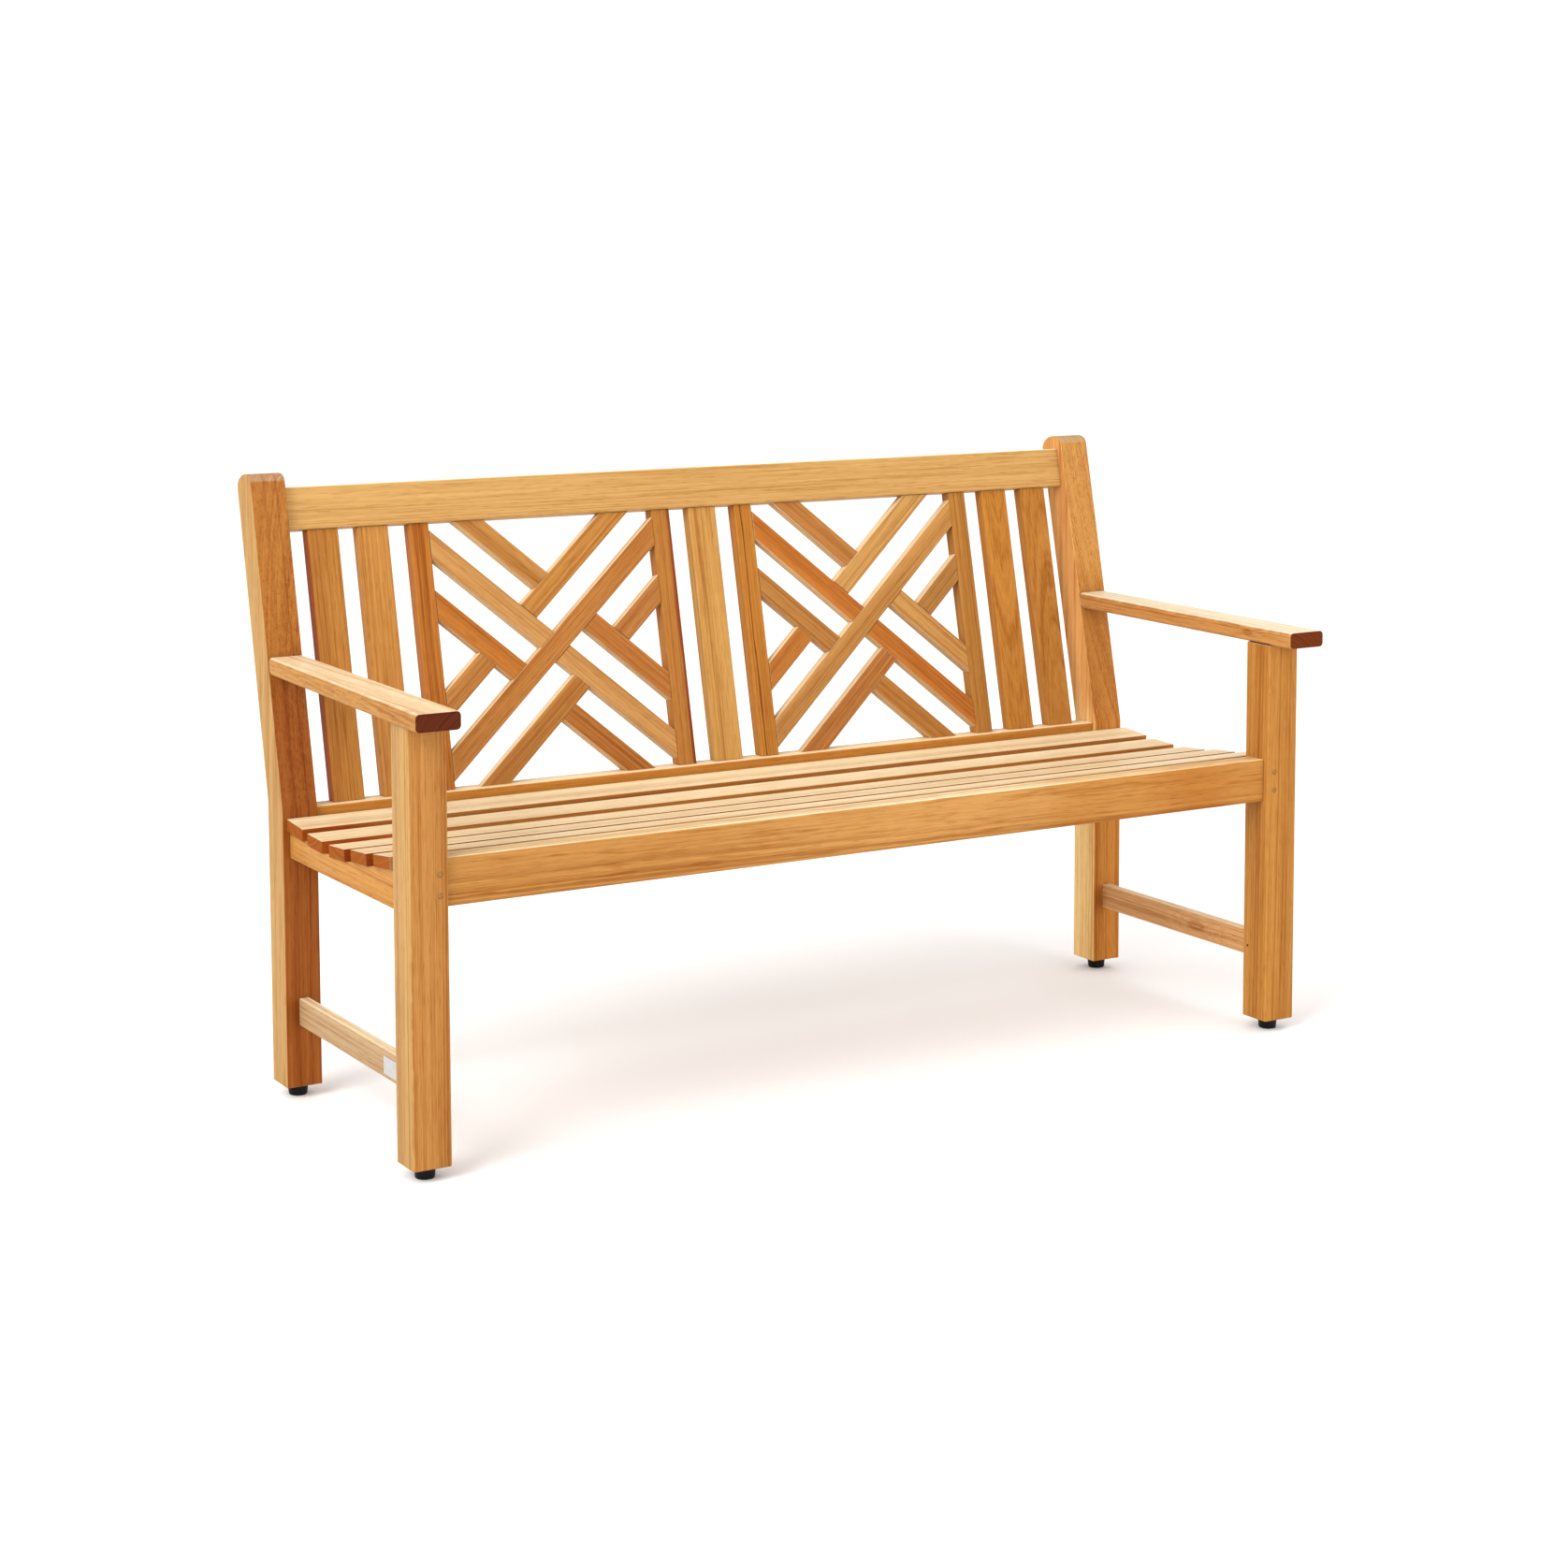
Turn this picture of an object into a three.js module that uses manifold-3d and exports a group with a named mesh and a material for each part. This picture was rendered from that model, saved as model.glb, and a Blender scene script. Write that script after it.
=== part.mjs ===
// Garden bench in teak: two bent rear posts, two front legs, flat tapered arms,
// a dished slatted seat and a raked back with two panels of diagonal lattice.
//
// Millimetres. +X runs along the bench to the sitter's left (the viewer's right),
// the front of the bench faces -Y and +Z is up. The origin is on the floor, at the
// middle of the outline in X and in Y.
//
// Inside the bench group, y = 0 is the front face of the front legs.
// The back group is turned by the rake: there, z runs up the back and y into it,
// with y = 0 on the front faces of the back slats and z = 0 at the lower back rail.

import * as THREE from 'three';
import { mergeVertices } from 'three/addons/utils/BufferGeometryUtils.js';
import Module from 'manifold-3d';

const wasm = await Module();
wasm.setup();

// ---------------------------------------------------------------- dimensions
const GAP = 0.3;                 // clearance left between neighbouring pieces
const THROUGH = 1;               // how far a cutting solid stands out of the face it enters

// overall and legs
const HALF_WIDTH = 750;          // centre line to the outer faces of legs and posts
const FOOT_HEIGHT = 18;          // floor to the end grain of every leg
const FRONT_LEG_W = 56, FRONT_LEG_D = 56;
const POST_W = 53.5;             // rear post, along the bench
const POST_D = 56;               // rear post below the seat, front to back
const POST_FRONT_Y = 452;        // front face of the posts below the seat
const POST_T = 54;               // rear post above the seat, square to its rake
const KINK_Z = 427;              // where the posts' front faces start to lean back
const RAKE = THREE.MathUtils.degToRad(12.5);
const TOP_Z = 903;               // highest point of the rounded post tops
const CAP_RISE = 16;             // height of the rounded post top, along the post
const CAP_STEPS = 14;            // facets across a rounded post top

// seat frame
const FRONT_RAIL_Y = [11, 47], FRONT_RAIL_Z = [366.5, 433];
const SIDE_RAIL_INSET = 11, SIDE_RAIL_T = 35, SIDE_RAIL_BOTTOM = 355.5, SIDE_RAIL_FRONT_TOP = 412.5;
const STRETCHER_INSET = 20, STRETCHER_T = 16, STRETCHER_Z = [109, 149];
const BACK_RAIL_Y = [459, 493], BACK_RAIL_Z = [361, 427];
const BEARER_HALF_W = 12.5, BEARER_BOTTOM = 367;

// seat slats, front to back: the front and rear edges of each top face, as [y, z]
const SLAT_T = 17.5;
const SEAT_SLAT_X = [-744.5, 758];   // the slats sit a little to one side of the frame
const SEAT_SLATS = [
  { front: [78.5, 427.3], rear: [135.0, 420.8] },
  { front: [158.5, 417.0], rear: [213.5, 412.7] },
  { front: [236.0, 408.9], rear: [292.0, 405.2] },
  { front: [317.0, 405.2], rear: [372.0, 407.1] },
  { front: [390.0, 409.7], rear: [450.2, 414.6] },
];

// arms
const ARM_T = 25.5;
const ARM_FRONT_Y = -50;
const ARM_FRONT_TOP = 637.6;     // top face at the front end
const ARM_SLOPE = 0.0104;        // rise per millimetre towards the post
const ARM_INNER_X = 694;
const ARM_FRONT_OUTER_X = 759.5; // the arm is wider in front and narrows to the post

// back, in the frame of the raked back
const BACK_ORIGIN_Y = 470.5;     // front faces of the back slats at the lower back rail
const BACK_H = 401.5;            // lower back rail to top rail, up the rake
const TOP_RAIL_H = 64, TOP_RAIL_Y = [-5, 25];
const BACK_SLAT_T = 20, BACK_SLAT_W = 49.5;
const STILE_T = 22, STILE_W = 32;
const BACK_SLAT_X = [-638.75, -559.25, 0, 559.25, 638.75];
const STILE_X = [-485, -74.5, 74.5, 485];

// lattice
const BAR_W = 33, BAR_T = 18;
const BAR_ANGLE = THREE.MathUtils.degToRad(41.5);
const BAR_PITCH = 68;            // centre line to centre line of parallel bars

// joinery
const TENON_T = 12;              // thickness of the rails' tenons
const TENON_LEN = 18;            // how far a tenon goes into its leg or post
const SLIM_TENON_T = 10;         // side rails and back slats
const STRETCHER_TENON_T = 8;
const SLAT_TENON_LEN = 15;
const SLAT_SHOULDER = 7;         // step from a back slat's edge to its tenon
const TENON_ROOT = 4;            // how deep a tenon is rooted in its own piece
const FRONT_RAIL_SHOULDER = 8;   // steps above and below each rail's tenon
const BACK_RAIL_SHOULDER = 12;
const TOP_RAIL_SHOULDER = 10;
const STRETCHER_SHOULDER = 5;
const SIDE_TENON_FRONT_Z = [369, 401], SIDE_TENON_REAR_Z = [365, 387];
const ARM_TENON_Z = [621, 633];
const ARM_TENON_START = 8;       // the arm's tenon starts this far in front of the post
const ARM_TENON_W = 24;
const LEG_TENON_H = 12;          // stub on top of the front leg, under the arm
const PEG_R = 4, PEG_LEN = 39, PEG_FROM_INNER_FACE = 12.4, PEG_Z = [385, 413.5];
const PIN_R = 2, PIN_LEN = 40, PIN_Y = 44.6, PIN_Z = 131.5;
const ROUND_STEPS = 20;

// feet and label
const FOOT_R = 15.2, FOOT_SOLE_R = 11, FOOT_STEM_R = 5, FOOT_STEM_TOP = 38;
const FOOT_EDGE = 2.6;           // radius of the rounded edge round the sole
const FOOT_STEPS = 28;
const LABEL_T = 0.6, LABEL_Y = [96, 141], LABEL_Z = [115, 140];

// ---------------------------------------------------------------- derived values
const TAN = Math.tan(RAKE), SIN = Math.sin(RAKE), COS = Math.cos(RAKE);
const postFrontY = (z) => POST_FRONT_Y + Math.max(0, z - KINK_Z) * TAN;
const armTopZ = (y) => ARM_FRONT_TOP + ARM_SLOPE * (y - ARM_FRONT_Y);
const armBottomZ = (y) => armTopZ(y) - ARM_T;

// the rounded post top is half an ellipse across the post
const capHalf = POST_T / 2;
const capCentreZ = TOP_Z - Math.hypot(CAP_RISE * COS, capHalf * SIN);
const capCentre = [
  postFrontY(capCentreZ + capHalf * SIN) + capHalf * COS,
  capCentreZ,
];
const REAR_Y = capCentre[0] + Math.hypot(capHalf * COS, CAP_RISE * SIN);
const MID_Y = (ARM_FRONT_Y + REAR_Y) / 2;

// ---------------------------------------------------------------- solids
const AXES = {
  x: [new THREE.Vector3(0, 1, 0), new THREE.Vector3(0, 0, 1), new THREE.Vector3(1, 0, 0)],
  y: [new THREE.Vector3(1, 0, 0), new THREE.Vector3(0, 0, 1), new THREE.Vector3(0, -1, 0)],
};

function extrude(points, depth) {
  const shape = new THREE.Shape(points.map(([u, v]) => new THREE.Vector2(u, v)));
  return new THREE.ExtrudeGeometry(shape, { depth, bevelEnabled: false });
}

// outline in (y, z), swept from x0 to x1
function prismX(points, x0, x1) {
  const geometry = extrude(points, x1 - x0);
  geometry.applyMatrix4(new THREE.Matrix4().makeBasis(...AXES.x));
  return geometry.translate(x0, 0, 0);
}

// outline in (x, z), swept from y0 to y1
function prismY(points, y0, y1) {
  const geometry = extrude(points, y1 - y0);
  geometry.applyMatrix4(new THREE.Matrix4().makeBasis(...AXES.y));
  return geometry.translate(0, y1, 0);
}

function block([x0, x1], [y0, y1], [z0, z1]) {
  const geometry = new THREE.BoxGeometry(Math.abs(x1 - x0), y1 - y0, z1 - z0);
  return geometry.translate((x0 + x1) / 2, (y0 + y1) / 2, (z0 + z1) / 2);
}

// a round bar along 'x', 'y' or 'z' from one end coordinate to the other
function rod(axis, [u, v], from, to, radius, steps = ROUND_STEPS) {
  const geometry = new THREE.CylinderGeometry(radius, radius, to - from, steps);
  const middle = (from + to) / 2;
  if (axis === 'x') return geometry.rotateZ(Math.PI / 2).translate(middle, u, v);
  if (axis === 'y') return geometry.translate(u, middle, v);
  return geometry.rotateX(Math.PI / 2).translate(u, v, middle);
}

// mirrors an x range to one side of the bench: side is 1 or -1
const onSide = (side, [a, b]) => (side > 0 ? [a, b] : [-b, -a]);
const grow = ([a, b]) => [a - GAP, b + GAP];

function solid(geometry) {
  const bare = geometry.clone();
  bare.deleteAttribute('normal');
  bare.deleteAttribute('uv');
  const merged = mergeVertices(bare, 1e-4);
  return new wasm.Manifold(new wasm.Mesh({
    numProp: 3,
    vertProperties: new Float32Array(merged.attributes.position.array),
    triVerts: new Uint32Array(merged.index.array),
  }));
}

// joins the 'plus' pieces to a body and cuts the 'minus' pieces out of it
function carve(base, { plus = [], minus = [] } = {}) {
  let body = solid(base);
  for (const piece of plus) body = body.add(solid(piece));
  for (const piece of minus) body = body.subtract(solid(piece));
  const mesh = body.getMesh();
  const geometry = new THREE.BufferGeometry();
  geometry.setAttribute('position', new THREE.BufferAttribute(mesh.vertProperties, 3));
  geometry.setIndex(new THREE.BufferAttribute(mesh.triVerts, 1));
  geometry.computeVertexNormals();
  return geometry;
}

// ---------------------------------------------------------------- wood and other finishes
const WOOD = {
  gold: 0xd7a45c, honey: 0xcf9449, amber: 0xc98642, russet: 0xb56c34, pale: 0xdfb377, rail: 0xd39a4f,
};
function wood(tone) {
  return new THREE.MeshStandardMaterial({ color: WOOD[tone], roughness: 0.55, metalness: 0 });
}
const blackPlastic = () => new THREE.MeshStandardMaterial({ color: 0x141414, roughness: 0.5, metalness: 0 });
const whitePlastic = () => new THREE.MeshStandardMaterial({ color: 0xf1f1ee, roughness: 0.4, metalness: 0 });

function add(parent, name, geometry, material) {
  const mesh = new THREE.Mesh(geometry, material);
  mesh.name = name;
  parent.add(mesh);
  return mesh;
}

const bench = new THREE.Group();
const frame = new THREE.Group();
const seat = new THREE.Group();
const back = new THREE.Group();
frame.position.y = -MID_Y;
seat.position.y = -MID_Y;
back.position.set(0, BACK_ORIGIN_Y - MID_Y, KINK_Z);
back.rotation.x = -RAKE;
bench.add(frame, seat, back);

// carries a solid from the frame of the back into that of the bench frame
const backToFrame = new THREE.Matrix4().makeRotationX(-RAKE).setPosition(0, BACK_ORIGIN_Y, KINK_Z);
const fromBack = (geometry) => geometry.applyMatrix4(backToFrame);

// ---------------------------------------------------------------- seat slats and the curve they lie on
const slatLines = SEAT_SLATS.map(({ front, rear }) => {
  const length = Math.hypot(rear[0] - front[0], rear[1] - front[1]);
  const along = [(rear[0] - front[0]) / length, (rear[1] - front[1]) / length];
  const up = [-along[1], along[0]];
  return { front, rear, length, along, up };
});

slatLines.forEach(({ front, rear, length, along, up }, i) => {
  const slat = add(seat, `seat_slat_${i + 1}`,
    new THREE.BoxGeometry(SEAT_SLAT_X[1] - SEAT_SLAT_X[0], length, SLAT_T),
    wood(['pale', 'pale', 'gold', 'pale', 'gold'][i]));
  slat.position.set(
    (SEAT_SLAT_X[0] + SEAT_SLAT_X[1]) / 2,
    (front[0] + rear[0]) / 2 - up[0] * SLAT_T / 2,
    (front[1] + rear[1]) / 2 - up[1] * SLAT_T / 2,
  );
  slat.rotation.x = Math.atan2(along[1], along[0]);
});

// undersides of the slats, front to back, lowered by the gap
const seatCurve = slatLines.flatMap(({ front, rear, up }) => [front, rear].map(([y, z]) => [
  y - up[0] * (SLAT_T + GAP),
  z - up[1] * (SLAT_T + GAP),
]));

// outline of a bearer under the slats, from its front end to its rear end
function bearerOutline(frontY, rearY, bottomZ) {
  const top = seatCurve.filter(([y]) => y > frontY && y < rearY);
  const last = seatCurve[seatCurve.length - 1];
  return [[frontY, bottomZ], [rearY, bottomZ], [rearY, last[1]], ...top.reverse(), [frontY, SIDE_RAIL_FRONT_TOP]];
}

// ---------------------------------------------------------------- joints between the pieces
// Each entry is the tenon as three ranges [x, y, z] on the positive side of the bench.
const legInnerX = HALF_WIDTH - FRONT_LEG_W;
const postInnerX = HALF_WIDTH - POST_W;
const sideRailX = [HALF_WIDTH - SIDE_RAIL_INSET - SIDE_RAIL_T, HALF_WIDTH - SIDE_RAIL_INSET];
const stretcherX = [HALF_WIDTH - STRETCHER_INSET - STRETCHER_T, HALF_WIDTH - STRETCHER_INSET];
const about = (middle, size) => [middle - size / 2, middle + size / 2];
const legMidX = HALF_WIDTH - FRONT_LEG_W / 2;
const mid = ([a, b]) => (a + b) / 2;
const inset = ([a, b], step) => [a + step, b - step];
const sideTenonX = about(mid(sideRailX), SLIM_TENON_T);
const stretcherTenonX = about(mid(stretcherX), STRETCHER_TENON_T);
const stretcherTenonZ = inset(STRETCHER_Z, STRETCHER_SHOULDER);
const armPostY = postFrontY(ARM_TENON_Z[0]);
const intoLeg = [FRONT_LEG_D - TENON_LEN, FRONT_LEG_D + TENON_ROOT];
const intoPost = [POST_FRONT_Y - TENON_ROOT, POST_FRONT_Y + TENON_LEN];

const JOINTS = {
  frontRail: [[legInnerX - TENON_ROOT, legInnerX + TENON_LEN], about(mid(FRONT_RAIL_Y), TENON_T), inset(FRONT_RAIL_Z, FRONT_RAIL_SHOULDER)],
  backRail: [[postInnerX - TENON_ROOT, postInnerX + TENON_LEN], about(mid(BACK_RAIL_Y), TENON_T), inset(BACK_RAIL_Z, BACK_RAIL_SHOULDER)],
  topRail: [[postInnerX - TENON_ROOT, postInnerX + TENON_LEN], about(mid(TOP_RAIL_Y), TENON_T), inset([BACK_H, BACK_H + TOP_RAIL_H], TOP_RAIL_SHOULDER)],
  sideRailFront: [sideTenonX, intoLeg, SIDE_TENON_FRONT_Z],
  sideRailRear: [sideTenonX, intoPost, SIDE_TENON_REAR_Z],
  stretcherFront: [stretcherTenonX, intoLeg, stretcherTenonZ],
  stretcherRear: [stretcherTenonX, intoPost, stretcherTenonZ],
  arm: [about(legMidX, ARM_TENON_W), [armPostY - ARM_TENON_START, armPostY + TENON_LEN], ARM_TENON_Z],
  legTop: [about(legMidX, ARM_TENON_W), about(FRONT_LEG_D / 2, ARM_TENON_W), [armBottomZ(0) - TENON_ROOT, armBottomZ(0) + LEG_TENON_H]],
};
const tenon = (key, side) => {
  const [x, y, z] = JOINTS[key];
  return block(onSide(side, x), y, z);
};
// the socket for a tenon is the tenon grown by the gap
const socket = (key, side) => {
  const [x, y, z] = JOINTS[key];
  return block(onSide(side, grow(x)), grow(y), grow(z));
};

// ---------------------------------------------------------------- posts, legs, arms and side frames
function postOutline() {
  const cap = [];
  for (let i = 0; i <= CAP_STEPS; i++) {
    const angle = Math.PI * i / CAP_STEPS;        // from the rear face over the top to the front face
    const across = capHalf * Math.cos(angle), along = CAP_RISE * Math.sin(angle);
    cap.push([capCentre[0] + across * COS + along * SIN, capCentre[1] - across * SIN + along * COS]);
  }
  const rearY = POST_FRONT_Y + POST_D;
  const rearKinkZ = KINK_Z + (POST_D - POST_T / COS) / TAN;
  return [[POST_FRONT_Y, FOOT_HEIGHT], [rearY, FOOT_HEIGHT], [rearY, rearKinkZ], ...cap, [POST_FRONT_Y, KINK_Z]];
}

function footBore(x, y) {
  return rod('z', [x, y], FOOT_HEIGHT - THROUGH, FOOT_STEM_TOP + GAP, FOOT_STEM_R + GAP, FOOT_STEPS);
}

const footProfile = [
  [0, 0], [FOOT_SOLE_R, 0], [FOOT_SOLE_R + FOOT_EDGE * 0.5, FOOT_EDGE * 0.13],
  [FOOT_SOLE_R + FOOT_EDGE * 0.87, FOOT_EDGE * 0.5], [FOOT_SOLE_R + FOOT_EDGE, FOOT_EDGE],
  [FOOT_R, FOOT_HEIGHT - GAP], [FOOT_STEM_R, FOOT_HEIGHT - GAP], [FOOT_STEM_R, FOOT_STEM_TOP], [0, FOOT_STEM_TOP],
].map(([r, z]) => new THREE.Vector2(r, z));

for (const [side, name] of [[-1, 'left'], [1, 'right']]) {
  const warm = side < 0;
  const legX = side * legMidX, postX = side * (HALF_WIDTH - POST_W / 2);
  const legMidY = FRONT_LEG_D / 2, postMidY = POST_FRONT_Y + POST_D / 2;
  const pegX = side * (legInnerX + PEG_FROM_INNER_FACE);

  // rear post: upright below the seat, leaning back above it, with a rounded top
  add(frame, `rear_post_${name}`, carve(
    prismX(postOutline(), ...onSide(side, [postInnerX, HALF_WIDTH])),
    {
      minus: [
        socket('backRail', side), socket('sideRailRear', side), socket('stretcherRear', side), socket('arm', side),
        fromBack(socket('topRail', side)), footBore(postX, postMidY),
      ],
    },
  ), wood(warm ? 'russet' : 'honey'));

  // front leg with a stub tenon under the arm
  add(frame, `front_leg_${name}`, carve(
    prismX([
      [0, FOOT_HEIGHT], [FRONT_LEG_D, FOOT_HEIGHT],
      [FRONT_LEG_D, armBottomZ(FRONT_LEG_D) - GAP], [0, armBottomZ(0) - GAP],
    ], ...onSide(side, [legInnerX, HALF_WIDTH])),
    {
      plus: [tenon('legTop', side)],
      minus: [
        socket('frontRail', side), socket('sideRailFront', side), socket('stretcherFront', side), footBore(legX, legMidY),
        ...PEG_Z.map((z) => rod('y', [pegX, z], -THROUGH, PEG_LEN + GAP, PEG_R + GAP)),
        rod('x', [PIN_Y, PIN_Z], ...onSide(side, [legInnerX - THROUGH, legInnerX + PIN_LEN + GAP]), PIN_R + GAP),
      ],
    },
  ), wood('honey'));

  // arm: a flat board, wider in front, cut to the rake of the post behind
  const armRearY = (z) => postFrontY(z) - GAP;
  const rearBottomZ = armBottomZ(armRearY(armBottomZ(0))), rearTopZ = armTopZ(armRearY(armTopZ(0)));
  const armBlank = prismX([
    [ARM_FRONT_Y, armBottomZ(ARM_FRONT_Y)], [armRearY(rearBottomZ), rearBottomZ],
    [armRearY(rearTopZ), rearTopZ], [ARM_FRONT_Y, armTopZ(ARM_FRONT_Y)],
  ], ...onSide(side, [ARM_INNER_X, ARM_FRONT_OUTER_X]));
  const armPoints = armBlank.attributes.position;
  for (let i = 0; i < armPoints.count; i++) {
    if (Math.abs(armPoints.getX(i)) > HALF_WIDTH - THROUGH) {
      const back01 = (armPoints.getY(i) - ARM_FRONT_Y) / (armRearY(rearTopZ) - ARM_FRONT_Y);
      armPoints.setX(i, side * THREE.MathUtils.lerp(ARM_FRONT_OUTER_X, HALF_WIDTH, back01));
    }
  }
  add(frame, `armrest_${name}`, carve(armBlank, {
    plus: [tenon('arm', side)],
    minus: [socket('legTop', side)],
  }), wood('pale'));

  // side rail under the seat slats, its top edge dished to carry them
  add(frame, `side_seat_rail_${name}`, carve(
    prismX(bearerOutline(FRONT_LEG_D + GAP, POST_FRONT_Y - GAP, SIDE_RAIL_BOTTOM), ...onSide(side, sideRailX)),
    { plus: [tenon('sideRailFront', side), tenon('sideRailRear', side)] },
  ), wood('gold'));

  // low stretcher between leg and post
  add(frame, `side_stretcher_${name}`, carve(
    block(onSide(side, stretcherX), [FRONT_LEG_D + GAP, POST_FRONT_Y - GAP], STRETCHER_Z),
    {
      plus: [tenon('stretcherFront', side), tenon('stretcherRear', side)],
      minus: [rod('x', [PIN_Y, PIN_Z], ...onSide(side, [legInnerX - THROUGH, legInnerX + PIN_LEN + GAP]), PIN_R + GAP)],
    },
  ), wood(warm ? 'gold' : 'amber'));

  // pegs through the front rail's tenon and the small pin through the stretcher's
  PEG_Z.forEach((z, i) => {
    const peg = add(frame, `rail_peg_${name}_${i === 0 ? 'lower' : 'upper'}`,
      new THREE.CylinderGeometry(PEG_R, PEG_R, PEG_LEN, ROUND_STEPS), wood('amber'));
    peg.position.set(pegX, PEG_LEN / 2, z);
  });
  const pin = add(frame, `stretcher_pin_${name}`,
    new THREE.CylinderGeometry(PIN_R, PIN_R, PIN_LEN, ROUND_STEPS), wood('russet'));
  pin.rotation.z = Math.PI / 2;
  pin.position.set(side * (legInnerX + PIN_LEN / 2), PIN_Y, PIN_Z);

  // round plastic feet, each with a stem in the leg's end
  for (const [place, x, y] of [['front', legX, legMidY], ['rear', postX, postMidY]]) {
    const foot = add(frame, `foot_${place}_${name}`, new THREE.LatheGeometry(footProfile, FOOT_STEPS), blackPlastic());
    foot.rotation.x = Math.PI / 2;
    foot.position.set(x, y, 0);
  }
}

// ---------------------------------------------------------------- long rails
const bothSides = (key, make) => [make(key, -1), make(key, 1)];

add(frame, 'front_seat_rail', carve(
  block([-legInnerX + GAP, legInnerX - GAP], FRONT_RAIL_Y, FRONT_RAIL_Z),
  {
    plus: bothSides('frontRail', tenon),
    minus: [-1, 1].flatMap((side) => PEG_Z.map((z) => rod('y',
      [side * (legInnerX + PEG_FROM_INNER_FACE), z], -THROUGH, PEG_LEN + GAP, PEG_R + GAP))),
  },
), wood('rail'));

// back slats and lattice stiles: middle, width and thickness of each, left to right
const uprights = [
  ...BACK_SLAT_X.map((x) => ({ x, width: BACK_SLAT_W, depth: BACK_SLAT_T, stile: false })),
  ...STILE_X.map((x) => ({ x, width: STILE_W, depth: STILE_T, stile: true })),
].sort((a, b) => a.x - b.x);
const slatTenonY = about(BACK_SLAT_T / 2, SLIM_TENON_T);
const slatTenonX = ({ x, width }) => about(x, width - 2 * SLAT_SHOULDER);
const upperTenonZ = [BACK_H - TENON_ROOT, BACK_H + SLAT_TENON_LEN];
const lowerTenonZ = [-SLAT_TENON_LEN, TENON_ROOT + BACK_SLAT_T * TAN];

add(frame, 'lower_back_rail', carve(
  block([-postInnerX + GAP, postInnerX - GAP], BACK_RAIL_Y, BACK_RAIL_Z),
  {
    plus: bothSides('backRail', tenon),
    minus: uprights.map((u) => fromBack(block(grow(slatTenonX(u)), grow(slatTenonY), grow(lowerTenonZ)))),
  },
), wood('amber'));

add(back, 'top_back_rail', carve(
  block([-postInnerX + GAP, postInnerX - GAP], TOP_RAIL_Y, [BACK_H, BACK_H + TOP_RAIL_H]),
  {
    plus: bothSides('topRail', tenon),
    minus: uprights.map((u) => block(grow(slatTenonX(u)), grow(slatTenonY), grow(upperTenonZ))),
  },
), wood('gold'));

// bearer under the middle of the seat slats, between the front rail and the lower back rail
add(frame, 'centre_seat_bearer', prismX(
  bearerOutline(FRONT_RAIL_Y[1] + GAP, BACK_RAIL_Y[0] - GAP, BEARER_BOTTOM),
  -BEARER_HALF_W, BEARER_HALF_W,
), wood('amber'));

add(frame, 'blank_label', block(
  [-HALF_WIDTH + STRETCHER_INSET - GAP - LABEL_T, -HALF_WIDTH + STRETCHER_INSET - GAP], LABEL_Y, LABEL_Z,
), whitePlastic());

// ---------------------------------------------------------------- back slats and stiles
// the foot of every upright is cut level, to stand on the lower back rail
const levelZ = (y) => y * TAN + GAP / COS;
const uprightTones = ['russet', 'amber', 'amber', 'russet', 'gold', 'honey', 'honey', 'amber', 'honey'];
uprights.forEach((u, i) => {
  const outline = [[0, levelZ(0)], [u.depth, levelZ(u.depth)], [u.depth, BACK_H - GAP], [0, BACK_H - GAP]];
  add(back, u.stile ? `back_stile_${i + 1}` : `back_slat_${i + 1}`, carve(
    prismX(outline, u.x - u.width / 2, u.x + u.width / 2),
    { plus: [block(slatTenonX(u), slatTenonY, upperTenonZ), block(slatTenonX(u), slatTenonY, lowerTenonZ)] },
  ), wood(uprightTones[i]));
});

// ---------------------------------------------------------------- lattice panels
// Lines in the plane of the back: a point p and a direction d.
const shift = ({ p, d }, k) => ({ p: [p[0] - d[1] * k, p[1] + d[0] * k], d });
function meet(a, b) {
  const det = a.d[0] * b.d[1] - a.d[1] * b.d[0];
  const t = ((b.p[0] - a.p[0]) * b.d[1] - (b.p[1] - a.p[1]) * b.d[0]) / det;
  return [a.p[0] + a.d[0] * t, a.p[1] + a.d[1] * t];
}
function barOutline(centre, from, to, halfWidth = BAR_W / 2) {
  const lower = shift(centre, -halfWidth), upper = shift(centre, halfWidth);
  return [meet(lower, from), meet(lower, to), meet(upper, to), meet(upper, from)];
}

const half = BAR_W / 2;
const lapPlane = BAR_T / 2;
const lowCut = prismX([
  [-THROUGH, -BAR_W], [BAR_T + THROUGH, -BAR_W], [BAR_T + THROUGH, levelZ(BAR_T + THROUGH)], [-THROUGH, levelZ(-THROUGH)],
], -HALF_WIDTH, HALF_WIDTH);

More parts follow.
